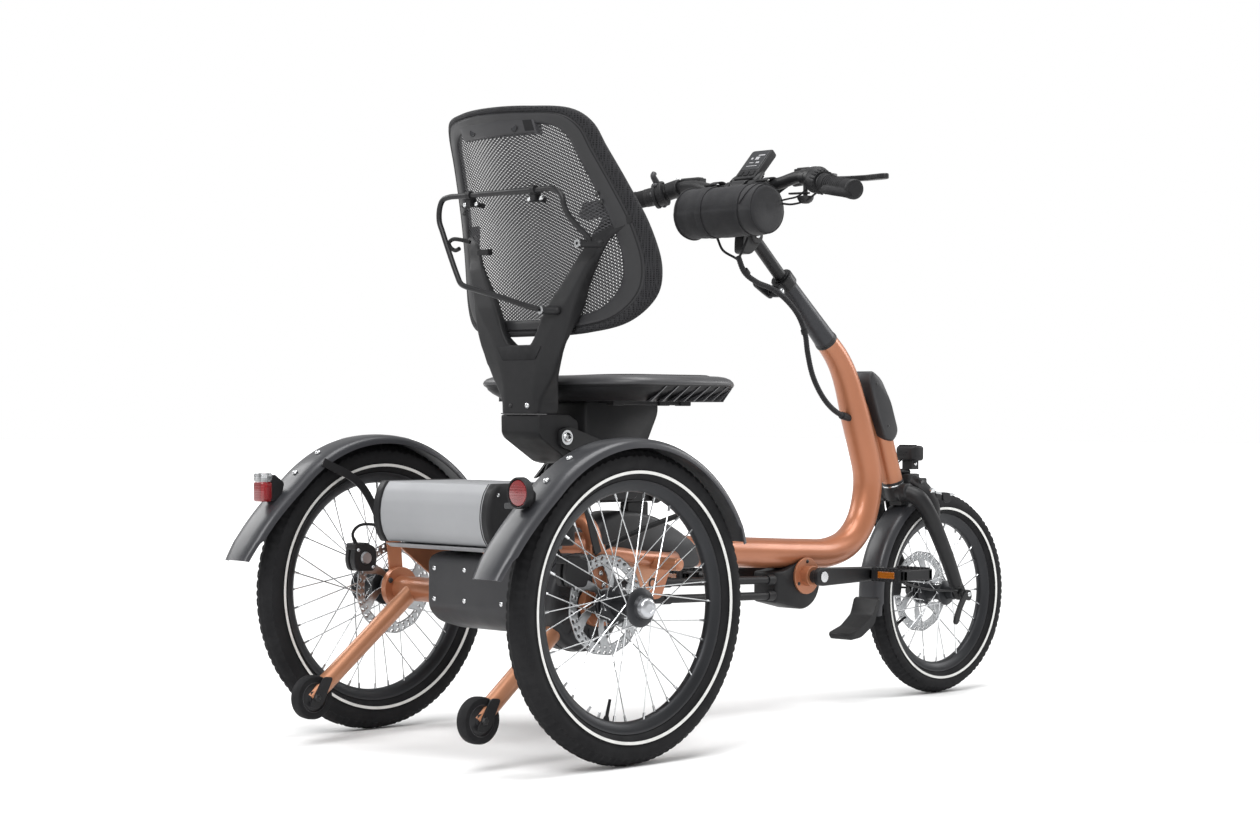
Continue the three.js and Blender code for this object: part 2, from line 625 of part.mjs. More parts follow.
const holderLine = [[20, -116, 742], [11, -90, 744], [11, 60, 744], [11, 96, 750], [11, 122, 780],
  [11, 148, 850], [11, 143, 905], [11, 128, 918], [11, 100, 920], [11, -100, 920], [11, -128, 916],
  [11, -140, 902], [11, -150, 880], [16, -176, 846], [34, -186, 840]];
add('stick_holder', 'black', tube(holderLine, 4.5, 32, 6));

// ---- fork ------------------------------------------------------------------------------
const legLine = [[1046, 30, 398], [1052, 60, 388], [1072, 66, 356], [1130, 64, 266], [1164, 60, 212]];
const crownMiddle = onHead(-16);
const forkPieces = [
  rod(onHead(-22), onHead(140), 15, 12),
  rod(onHead(-30), onHead(2 - GAP), 19, 14),
  rod([crownMiddle[0], -44, crownMiddle[2]], [crownMiddle[0], 44, crownMiddle[2]], 15, 12),
  rod([WHEELBASE, -72, FRONT_RADIUS], [WHEELBASE, 72, FRONT_RADIUS], 6, 12),
];
for (const side of [1, -1]) {
  forkPieces.push(tube(mirrored(side, legLine), 12.5, 7, 8));
  forkPieces.push(plate([[1152, 222], [1172, 222], [1186, 205], [1186, 190], [1166, 188], [1156, 205]],
    side * 59 - 5, side * 59 + 5));
}
add('fork', 'anthracite', join(forkPieces));
add('brake_caliper_front', 'black', cut(box(36, 21, 44, WHEELBASE - 84, 42.5, FRONT_RADIUS + 18), [
  rod([WHEELBASE, 37.6, FRONT_RADIUS], [WHEELBASE, 42.4, FRONT_RADIUS], ROTOR_RADIUS + 4, 24),
  tube(legLine, 13, 7, 8),
]));
add('mudguard_front', 'anthracite', cut(join([
  deform(mudguard(WHEELBASE, FRONT_RADIUS, 213, 108, 190, 0, 12, 200), (p) => p.setY(p.y * 0.9)),
  plate([[962, 196], [967, 190], [948, 132], [880, 128], [876, 140], [940, 170]], -30, 30),
]), [rod([WHEELBASE, -40, FRONT_RADIUS], [WHEELBASE, 40, FRONT_RADIUS], 206, 36)]));

const lockMiddle = [1097, 0, 375];
const LOCK_RADIUS = 54;
function lockPoint(angle) {
  const along = LOCK_RADIUS * Math.sin(rad(angle));
  return [
    lockMiddle[0] - along * Math.cos(rad(HEAD_ANGLE)),
    LOCK_RADIUS * Math.cos(rad(angle)),
    lockMiddle[2] + along * Math.sin(rad(HEAD_ANGLE)),
  ];
}
const lockLine = [-58, -30, 0, 30, 60, 90, 120, 150, 180, 210, 238].map(lockPoint);
add('ring_lock', 'black', join([
  tube(lockLine, 12, 14, 8),
  box(34, 30, 20, 1082, 0, 425),
]));
add('headlight', 'black', join([
  box(32, 50, 30, 1087, 0, 478),
  box(14, 20, 16, 1084, 0, 456),
]));
add('front_axle_lever', 'black', join([
  rod([WHEELBASE, -80, FRONT_RADIUS], [WHEELBASE, -72.4, FRONT_RADIUS], 9, 12),
  plate([[WHEELBASE - 6, 200], [WHEELBASE + 6, 200], [WHEELBASE - 34, 142], [WHEELBASE - 46, 148]],
    -84, -78),
]));

// ---- handlebar column --------------------------------------------------------------------
add('steering_column', 'black', cut(join([
  rod(onMast(-40), onMast(2), 15, 12),
  rod(onMast(GAP), onMast(MAST_LENGTH), 20, 12, 16),
  rod(onMast(MAST_LENGTH - 12), onMast(MAST_LENGTH + 8), 22, 12),
  rod(onMast(MAST_LENGTH - 2, -28, -12), onMast(MAST_LENGTH - 2, -28, 12), 7, 10),
  rod(onMast(MAST_LENGTH - 2, -28), onMast(MAST_LENGTH - 2, -14), 7, 8),
]), [rod(onMast(20), onMast(MAST_LENGTH + 12), 12.5, 12)]));
add('clamp_lever', 'black', join([
  rod(onMast(MAST_LENGTH - 2, -28, 12.4), onMast(MAST_LENGTH - 2, -28, 21), 8, 12),
  plate([[154, -22], [152, -35], [200, -46], [205, -39], [166, -22]].map(([along, across]) => {
    const p = onMast(along, across);
    return [p[0], p[2]];
  }), 15, 21),
]));
const postTop = onMast(MAST_LENGTH + 118);
const [topX, , topZ] = postTop;
add('stem_post', 'black', join([
  rod(onMast(40), postTop, 12, 12),
  rod([topX, -16, topZ], [topX, 16, topZ], 15, 12),
  plate([[topX - 34, 852], [topX + 4, 858], [topX + 2, 880], [topX - 34, 880]], -9, 9),
]));

// ---- handlebar ---------------------------------------------------------------------------
const barLine = [[600, 0, 965], [602, 50, 966], [606, 90, 972], [608, 128, 980], [602, 168, 978],
  [586, 202, 966], [556, 262, 953], [524, 330, 940]];
const wholeBar = [...mirrored(-1, barLine).reverse(), ...barLine.slice(1)];
function barSweep(grow) {
  const reach = 3 * grow;
  const line = [...wholeBar];
  for (const index of [0, line.length - 1]) {
    const [x, y, z] = line[index];
    line[index] = [x - reach * 0.43, y + Math.sign(y) * reach, z - reach * 0.18];
  }
  return tube(line, 11.1 + grow, 26, 8);
}

function ringOnBar(side, from, to, radius, sides = 10) {
  const [a, b] = [from, to].map((y) => barAt(y));
  return rod([a[0], side * from, a[1]], [b[0], side * to, b[1]], radius, sides);
}

// X and Z of the bar at a sideways distance.
function barAt(y) {
  const next = Math.max(1, barLine.filter((p, i) => i < barLine.length - 1 && p[1] < y).length);
  const [p, q] = [barLine[next - 1], barLine[next]];
  const t = (y - p[1]) / (q[1] - p[1]);
  return [p[0] + t * (q[0] - p[0]), p[2] + t * (q[2] - p[2])];
}

add('handlebar', 'black', cut(join([
  barSweep(0),
  rod([BAR[0], -17, BAR[1]], [BAR[0], 17, BAR[1]], 17, 14),
  plate([[topX - 12, topZ], [topX + 12, topZ - 4], [616, 960], [590, 962]], -14, 14),
]), [rod([topX, -30, topZ], [topX, 30, topZ], 16, 16)]));

const palmWing = [[562, 244], [530, 252], [504, 272], [490, 298], [490, 320], [506, 334], [527, 331],
  [546, 290]];
for (const [name, side] of [['left', 1], ['right', -1]]) {
  const wing = slab(palmWing.map(([x, y]) => [x, side * y]), -14, -3);
  add(`grip_${name}`, 'rubber', cut(join([
    ringOnBar(side, 224, 332, 16),
    ringOnBar(side, 332, 338, 17.5),
    deform(wing, (p) => p.setZ(p.z + barAt(Math.abs(p.y))[1])),
  ]), [barSweep(GAP)]));
  const leverPin = rod([626, side * 186, 964], [626, side * 186, 982], 2.5, 8);
  const mount = cut(join([
    ringOnBar(side, 164, 184, 16.5),
    slab([[596, side * 164], [632, side * 172], [636, side * 196], [620, side * 198], [600, side * 184]],
      962, 984),
  ]), [
    barSweep(GAP),
    slab([[606, side * 177], [660, side * 177], [660, side * 220], [606, side * 220]], 967, 979),
  ]);
  add(`brake_mount_${name}`, 'black', join([mount, leverPin]));
  const bladeOutline = [[618, 181], [628, 179], [634, 190], [650, 250], [650, 300], [642, 308],
    [636, 300], [638, 252], [622, 200]];
  const blade = slab(bladeOutline.map(([x, y]) => [x, side * y]), 967.6, 978.4);
  add(`brake_lever_${name}`, 'black', cut(blade, [
    rod([626, side * 186, 960], [626, side * 186, 986], 3, 8),
  ]));
}
add('twist_shifter', 'black', cut(ringOnBar(-1, 190, 216, 21.5), [ringOnBar(-1, 186, 220, 12.8, 16)]));

const displayPieces = [plate([[605, 988], [657, 1042], [667, 1032], [615, 978]], -24, 24)];
for (const side of [1, -1]) {
  const arm = [[588, 968], [613, 968], [628, 992], [607, 988]];
  displayPieces.push(plate(arm, side * 22 - 2, side * 22 + 2));
  displayPieces.push(rod([601, side * 20, 966], [602, side * 30, 966], 15, 10));
}
add('display', 'black', cut(join(displayPieces), [barSweep(GAP)]));

const BAG = [549, 921];
const BAG_RADIUS = 46.5;
const bagPieces = [rod([BAG[0], -110, BAG[1]], [BAG[0], 82, BAG[1]], BAG_RADIUS, 20)];
for (const [side, from] of [[1, 48], [-1, 62]]) {
  const strap = [[598, 976], [612, 962], [570, 928], [550, 944]];
  bagPieces.push(ringOnBar(side, from, from + 18, 14));
  bagPieces.push(plate(strap, side * (from + 9) - 9, side * (from + 9) + 9));
}
add('handlebar_bag', 'fabric', cut(join(bagPieces), [barSweep(GAP)]));

const BELL = [603, -152];
add('bell', 'black', cut(join([
  ringOnBar(-1, 146, 158, 14),
  rod([BELL[0], BELL[1], 936], [BELL[0], BELL[1], 970], 4, 10),
  rod([BELL[0], BELL[1], 932], [BELL[0], BELL[1], 944], 15, 16, 11),
]), [barSweep(GAP)]));
add('bell_lever', 'black', cut(join([
  rod([BELL[0], BELL[1], 948], [BELL[0], BELL[1], 952], 8, 12),
  box(9, 26, 4, BELL[0], BELL[1] + 15, 950),
]), [rod([BELL[0], BELL[1], 940], [BELL[0], BELL[1], 960], 4.5, 10)]));

// ---- cables ------------------------------------------------------------------------------
const loomLine = [[562, -26, 840], [578, -27, 812], [610, -28, 795], [652, -29, 784], [692, -29, 764],
  [726, -28, 736], [746, -26, 704], [757, -23, 668], [776, -20, 624], [813, -16, 582], [860, -10, 556],
  [915, -4, 545]];
add('cable_loom', 'black', cut(tube(loomLine, 5, 22, 6), [neck(GAP)]));

export default tricycle;
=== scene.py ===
"""Looks of the adult tricycle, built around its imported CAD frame.

Lengths in the shape data are millimetres from the point on the ground under the rear axle
(+X forward, +Y to the rider's left, +Z up); at() turns them into the frame's metres.
"""

import math

import bmesh
import bpy
from mathutils import Matrix, Vector


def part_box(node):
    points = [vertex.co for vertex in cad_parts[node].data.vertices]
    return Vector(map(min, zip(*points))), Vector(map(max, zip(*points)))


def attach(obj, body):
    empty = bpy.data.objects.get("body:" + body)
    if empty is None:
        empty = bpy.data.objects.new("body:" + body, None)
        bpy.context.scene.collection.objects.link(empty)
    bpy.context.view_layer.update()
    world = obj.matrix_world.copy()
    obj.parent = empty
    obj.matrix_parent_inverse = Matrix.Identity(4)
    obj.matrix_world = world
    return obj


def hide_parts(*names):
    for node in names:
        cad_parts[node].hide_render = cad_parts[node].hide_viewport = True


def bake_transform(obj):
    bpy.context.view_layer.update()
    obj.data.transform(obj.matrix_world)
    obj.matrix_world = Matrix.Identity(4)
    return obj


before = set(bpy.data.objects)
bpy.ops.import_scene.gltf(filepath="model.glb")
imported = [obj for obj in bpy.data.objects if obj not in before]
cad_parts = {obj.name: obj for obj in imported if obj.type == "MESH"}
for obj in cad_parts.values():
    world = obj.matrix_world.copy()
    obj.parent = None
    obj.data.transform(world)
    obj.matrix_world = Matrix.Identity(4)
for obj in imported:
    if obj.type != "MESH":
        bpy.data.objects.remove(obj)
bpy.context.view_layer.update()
MM = 0.001


def span(node):
    low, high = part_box(node)
    return Vector(low), Vector(high)


# ---- places taken from the frame -----------------------------------------------------
rear_low, rear_high = span("tyre_rear_left")
front_low, front_high = span("tyre_front")
AXLE_X = (rear_low.x + rear_high.x) / 2
GROUND = rear_low.z
REAR_R = (rear_high.z - rear_low.z) / 2 / MM
FRONT_R = (front_high.z - front_low.z) / 2 / MM
HALF_TRACK = (rear_low.y + rear_high.y) / 2 / MM
WHEELBASE = ((front_low.x + front_high.x) / 2 - AXLE_X) / MM
# Axes of the head and of the mast as the part has them: angle from the ground, then a point (x, z).
HEAD_ANGLE = math.radians(69.8)
HEAD_FOOT = (1037, 418)
MAST_ANGLE = math.radians(42.2)
MAST_FOOT = (833, 695)


def at(x, y, z):
    return Vector((AXLE_X + x * MM, y * MM, GROUND + z * MM))


def on_axis(foot, angle, along, across=0, y=0):
    c, s = math.cos(angle), math.sin(angle)
    return (foot[0] - along * c + across * s, y, foot[1] + along * s + across * c)


def on_head(along, across=0, y=0):
    return on_axis(HEAD_FOOT, HEAD_ANGLE, along, across, y)


def on_mast(along, across=0, y=0):
    return on_axis(MAST_FOOT, MAST_ANGLE, along, across, y)


# ---- shapes: each returns (corners in millimetres, faces) -----------------------------
def smooth_path(points, steps, closed=False):
    """Points spaced evenly on a smooth curve through the given ones."""
    pts = [Vector(p) for p in points]
    n = len(pts)
    fine = []
    spans = n if closed else n - 1
    for i in range(spans):
        if closed:
            a, b, c, d = (pts[(i + k) % n] for k in (-1, 0, 1, 2))
        else:
            b, c = pts[i], pts[i + 1]
            a = pts[i - 1] if i else b + (b - c)
            d = pts[i + 2] if i + 2 < n else c + (c - b)
        t0 = 0.0
        t1 = t0 + max((b - a).length, 1e-6) ** 0.5
        t2 = t1 + max((c - b).length, 1e-6) ** 0.5
        t3 = t2 + max((d - c).length, 1e-6) ** 0.5
        for k in range(16):
            t = t1 + (t2 - t1) * k / 16
            ab = a.lerp(b, (t - t0) / (t1 - t0))
            bc = b.lerp(c, (t - t1) / (t2 - t1))
            cd = c.lerp(d, (t - t2) / (t3 - t2))
            abc = ab.lerp(bc, (t - t0) / (t2 - t0))
            bcd = bc.lerp(cd, (t - t1) / (t3 - t1))
            fine.append(abc.lerp(bcd, (t - t1) / (t2 - t1)))
    fine.append(pts[0].copy() if closed else pts[-1].copy())
    length = [0.0]
    for p, q in zip(fine, fine[1:]):
        length.append(length[-1] + (q - p).length)
    out = []
    j = 0
    count = steps if closed else steps + 1
    for i in range(count):
        want = length[-1] * i / steps
        while j < len(length) - 2 and length[j + 1] < want:
            j += 1
        t = (want - length[j]) / max(length[j + 1] - length[j], 1e-9)
        out.append(fine[j].lerp(fine[j + 1], min(t, 1.0)))
    return out


def straight(points):
    return [Vector(p) for p in points]


def loft(rings, closed=False, caps=True):
    """Skin over rings that all have the same number of corners."""
    count = len(rings[0])
    verts = [v for ring in rings for v in ring]
    faces = []
    for i in range(len(rings) if closed else len(rings) - 1):
        a, b = i * count, ((i + 1) % len(rings)) * count
        for k in range(count):
            m = (k + 1) % count
            faces.append((a + k, a + m, b + m, b + k))
    if caps and not closed:
        faces.append(tuple(range(count))[::-1])
        faces.append(tuple(range(len(verts) - count, len(verts))))
    return verts, faces


def along_path(path, section, closed=False, up=None):
    """Sweeps section(i, t) -> [(across, up), ...] along a path."""
    n = len(path)
    rings = []
    side = None
    for i, p in enumerate(path):
        before = path[i - 1] if i or closed else p
        after = path[(i + 1) % n] if i < n - 1 or closed else p
        tangent = (after - before).normalized()
        if up is not None:
            side = tangent.cross(Vector(up)).normalized()
        elif side is None:
            hint = Vector((0, 1, 0)) if abs(tangent.y) < 0.9 else Vector((0, 0, 1))
            side = tangent.cross(hint).normalized()
        else:
            side = (side - tangent * side.dot(tangent)).normalized()
        top = side.cross(tangent)
        rings.append([p + side * a + top * b for a, b in section(i, i / max(n - 1, 1))])
    return loft(rings, closed)


def circle(radius, sides, stretch=1.0):
    return [(radius * math.cos(2 * math.pi * k / sides), radius * stretch * math.sin(2 * math.pi * k / sides))
            for k in range(sides)]


def pipe(points, radius, steps=40, sides=20, closed=False, curved=True, stretch=1.0, up=None):
    """A round tube; radius may be a function of the share of its length."""
    path = smooth_path(points, steps, closed) if curved else straight(points)
    size = radius if callable(radius) else (lambda t: radius)
    return along_path(path, lambda i, t: circle(size(t), sides, stretch), closed, up)


def rod(a, b, radius, sides=24, end=None):
    return pipe([a, b], (lambda t: radius + ((radius if end is None else end) - radius) * t), 1, sides,
                curved=False)


def spin(profile, centre, segments=96, axis="Y", turn=None):
    """Turns a closed profile of (radius, height) about an axis through centre."""
    rings = []
    for k in range(segments):
        a = 2 * math.pi * k / segments
        ring = []
        for r, h in profile:
            c, s = r * math.cos(a), r * math.sin(a)
            local = {"Y": (c, h, s), "X": (h, c, s), "Z": (c, s, h)}[axis]
            ring.append(Vector(local))
        rings.append(ring)
    verts, faces = loft(rings, closed=True)
    place = Vector(centre)
    if turn is not None:
        verts = [turn @ v for v in verts]
    return [v + place for v in verts], faces


def dome(centre, radius, height, axis, segments=24, rings=6, foot=0.0):
    """A low domed button, such as a bolt head; axis is the way it faces."""
    profile = [(0.001, -foot), (radius, -foot)]
    for k in range(rings + 1):
        a = math.pi / 2 * k / rings
        profile.append((max(radius * math.cos(a), 0.001), height * math.sin(a)))
    turn = Vector((0, 0, 1)).rotation_difference(Vector(axis).normalized()).to_matrix()
    return spin(profile, centre, segments, "Z", turn)


def rounded(outline, radius, steps=5):
    """Rounds the corners of an outline of (a, b) points."""
    out = []
    n = len(outline)
    for i in range(n):
        p, q, r = (Vector((*outline[(i + k) % n][:2], 0)) for k in (-1, 0, 1))
        reach = min(radius, (p - q).length * 0.45, (r - q).length * 0.45)
        a = q + (p - q).normalized() * reach
        b = q + (r - q).normalized() * reach
        for k in range(steps + 1):
            t = k / steps
            s = a.lerp(q, t).lerp(q.lerp(b, t), t)
            out.append((s.x, s.y))
    return out


def prism(outline, low, high, plane="XZ"):
    """An outline pulled into a plate between two distances across its plane."""
    def corner(p, h):
        return Vector({"XZ": (p[0], h, p[1]), "YZ": (h, p[0], p[1]), "XY": (p[0], p[1], h)}[plane])
    return loft([[corner(p, low) for p in outline], [corner(p, high) for p in outline]])


def block(size, centre):
    x, y, z = (s / 2 for s in size)
    outline = [(-x, -y), (x, -y), (x, y), (-x, y)]
    rings = [[Vector((a + centre[0], b + centre[1], h + centre[2])) for a, b in outline] for h in (-z, z)]
    return loft(rings)


def swelled(outline, centre, levels):
    """A side outline lofted across Y: each level is a place in Y and the outline's size there."""
    cx, cz = centre
    return loft([[Vector((cx + (a - cx) * size, y, cz + (b - cz) * size)) for a, b in outline]
                 for y, size in levels])


# ---- materials -------------------------------------------------------------------------
def new_material(name):
    mat = bpy.data.materials.new(name)
    mat.use_nodes = True
    tree = mat.node_tree
    tree.nodes.clear()
    out = tree.nodes.new("ShaderNodeOutputMaterial")
    shader = tree.nodes.new("ShaderNodeBsdfPrincipled")
    tree.links.new(shader.outputs[0], out.inputs[0])
    return mat, tree, shader


def link(tree, a, b):
    tree.links.new(a, b)


def noise_node(tree, scale, detail=4.0, roughness=0.6, stretch=None):
    coord = tree.nodes.new("ShaderNodeTexCoord")
    source = coord.outputs["Object"]
    if stretch:
        mapping = tree.nodes.new("ShaderNodeMapping")
        mapping.inputs["Scale"].default_value = stretch
        link(tree, source, mapping.inputs[0])
        source = mapping.outputs[0]
    tex = tree.nodes.new("ShaderNodeTexNoise")
    tex.inputs["Scale"].default_value = scale
    tex.inputs["Detail"].default_value = detail
    tex.inputs["Roughness"].default_value = roughness
    link(tree, source, tex.inputs["Vector"])
    return tex.outputs["Fac"]


def ramp(tree, value, low, high, a, b):
    node = tree.nodes.new("ShaderNodeMapRange")
    node.inputs["From Min"].default_value = low
    node.inputs["From Max"].default_value = high
    node.inputs["To Min"].default_value = a
    node.inputs["To Max"].default_value = b
    link(tree, value, node.inputs["Value"])
    return node.outputs[0]


def blend_colour(tree, value, one, two):
    node = tree.nodes.new("ShaderNodeMix")
    node.data_type = "RGBA"
    node.inputs[6].default_value = (*one, 1)
    node.inputs[7].default_value = (*two, 1)
    link(tree, value, node.inputs[0])
    return node.outputs[2]


def bump(tree, shader, height, strength, distance):
    node = tree.nodes.new("ShaderNodeBump")
    node.inputs["Strength"].default_value = strength
    node.inputs["Distance"].default_value = distance
    link(tree, height, node.inputs["Height"])
    link(tree, node.outputs[0], shader.inputs["Normal"])
    return node


def surface(name, dark, light, rough, metal=0.0, grain=900.0, depth=0.00008, mottle=9.0, coat=0.0,
            sheen=0.0, worn=None, stretch=None, gloss=0.5):
    """A finish with slow colour mottling, fine grain in its height and uneven roughness."""
    mat, tree, shader = new_material(name)
    slow = ramp(tree, noise_node(tree, mottle, 5.0), 0.3, 0.7, 0.0, 1.0)
    colour = blend_colour(tree, slow, dark, light)
    if worn:
        geometry = tree.nodes.new("ShaderNodeNewGeometry")
        edge = ramp(tree, geometry.outputs["Pointiness"], 0.515, 0.6, 0.0, 0.55)
        node = tree.nodes.new("ShaderNodeMix")
        node.data_type = "RGBA"
        node.inputs[7].default_value = (*worn, 1)
        link(tree, colour, node.inputs[6])
        link(tree, edge, node.inputs[0])
        colour = node.outputs[2]
    link(tree, colour, shader.inputs["Base Color"])
    link(tree, ramp(tree, noise_node(tree, mottle * 3.1, 6.0), 0.25, 0.75, rough * 0.85, rough * 1.18),
         shader.inputs["Roughness"])
    shader.inputs["Metallic"].default_value = metal
    shader.inputs["Coat Weight"].default_value = coat
    shader.inputs["Coat Roughness"].default_value = 0.12
    shader.inputs["Sheen Weight"].default_value = sheen
    shader.inputs["Specular IOR Level"].default_value = gloss
    bump(tree, shader, noise_node(tree, grain, 3.0, stretch=stretch), 0.5, depth)
    return mat


def weave_height(tree, pitch, angle=0.0):
    """Height of crossed threads, from three wave patterns in the object's own space."""
    coord = tree.nodes.new("ShaderNodeTexCoord")
    mapping = tree.nodes.new("ShaderNodeMapping")
    mapping.inputs["Rotation"].default_value = (angle, angle, angle)
    link(tree, coord.outputs["Object"], mapping.inputs[0])
    waves = []
    for direction in ("Y", "Z", "X"):
        wave = tree.nodes.new("ShaderNodeTexWave")
        wave.bands_direction = direction
        wave.inputs["Scale"].default_value = 0.314 / pitch
        wave.inputs["Distortion"].default_value = 0.6
        wave.inputs["Detail Scale"].default_value = 4.0
        link(tree, mapping.outputs[0], wave.inputs["Vector"])
        waves.append(wave.outputs["Fac"])
    product = tree.nodes.new("ShaderNodeMath")
    product.operation = "MAXIMUM"
    link(tree, waves[0], product.inputs[0])
    link(tree, waves[1], product.inputs[1])
    third = tree.nodes.new("ShaderNodeMath")
    third.operation = "MAXIMUM"
    link(tree, product.outputs[0], third.inputs[0])
    link(tree, waves[2], third.inputs[1])
    return third.outputs[0]


def cloth(name, dark, light, pitch, depth=0.0004, rough=0.9, sheen=0.06, angle=0.0):
    """Woven cloth: threads in its height and colour, soft sheen."""
    mat, tree, shader = new_material(name)
    height = weave_height(tree, pitch, angle)
    colour = blend_colour(tree, ramp(tree, height, 0.35, 1.0, 0.0, 1.0), dark, light)
    link(tree, colour, shader.inputs["Base Color"])
    link(tree, ramp(tree, noise_node(tree, 40.0), 0.3, 0.7, rough * 0.9, min(rough * 1.08, 1.0)),
         shader.inputs["Roughness"])
    shader.inputs["Sheen Weight"].default_value = sheen
    shader.inputs["Sheen Roughness"].default_value = 0.5
    shader.inputs["Specular IOR Level"].default_value = 0.2
    bump(tree, shader, height, 0.8, depth)
    return mat


def wave_node(tree, source, across, up, pitch):
    """A wave that rises across bands slanted in the YZ plane; pitch is the distance between bands."""
    mapping = tree.nodes.new("ShaderNodeMapping")
    size = math.hypot(across, up)
    turn = math.atan2(up, across)
    mapping.inputs["Rotation"].default_value = (-turn, 0, 0)
    link(tree, source, mapping.inputs[0])
    wave = tree.nodes.new("ShaderNodeTexWave")
    wave.bands_direction = "Y"
    wave.inputs["Scale"].default_value = 0.314 / (pitch * size)
    wave.inputs["Distortion"].default_value = 0.0
    link(tree, mapping.outputs[0], wave.inputs["Vector"])
    return wave.outputs["Fac"]


def knit(name, dark, light, pitch, openness):
    """Knitted spacer mesh: rows of slanted diamond openings that let light through."""
    mat, tree, shader = new_material(name)
    coord = tree.nodes.new("ShaderNodeTexCoord")
    one = wave_node(tree, coord.outputs["Object"], 0.52, 1.0, pitch * 0.88)
    two = wave_node(tree, coord.outputs["Object"], -0.52, 1.0, pitch * 0.88)
    product = tree.nodes.new("ShaderNodeMath")
    product.operation = "MULTIPLY"
    link(tree, one, product.inputs[0])
    link(tree, two, product.inputs[1])
    away = product.outputs[0]
    colour = blend_colour(tree, ramp(tree, away, 0.05, 0.4, 1.0, 0.0), dark, light)
    link(tree, colour, shader.inputs["Base Color"])
    link(tree, ramp(tree, away, openness, openness + 0.08, 1.0, 0.0), shader.inputs["Alpha"])
    shader.inputs["Roughness"].default_value = 0.85
    shader.inputs["Specular IOR Level"].default_value = 0.2
    bump(tree, shader, away, 0.7, 0.0006)
    return mat


def lens(name, colour, rough=0.08, transmission=0.5):
    """Coloured clear plastic with prism lines inside."""
    mat, tree, shader = new_material(name)
    coord = tree.nodes.new("ShaderNodeTexCoord")
    cells = tree.nodes.new("ShaderNodeTexVoronoi")
    cells.inputs["Scale"].default_value = 260.0
    cells.inputs["Randomness"].default_value = 0.0
    link(tree, coord.outputs["Object"], cells.inputs["Vector"])
    tone = [c * 0.45 for c in colour]
    link(tree, blend_colour(tree, cells.outputs["Distance"], tone, colour), shader.inputs["Base Color"])
    shader.inputs["Roughness"].default_value = rough
    shader.inputs["Transmission Weight"].default_value = transmission
    shader.inputs["Coat Weight"].default_value = 1.0
    shader.inputs["Coat Roughness"].default_value = 0.04
    bump(tree, shader, cells.outputs["Distance"], 0.5, 0.0008)
    return mat


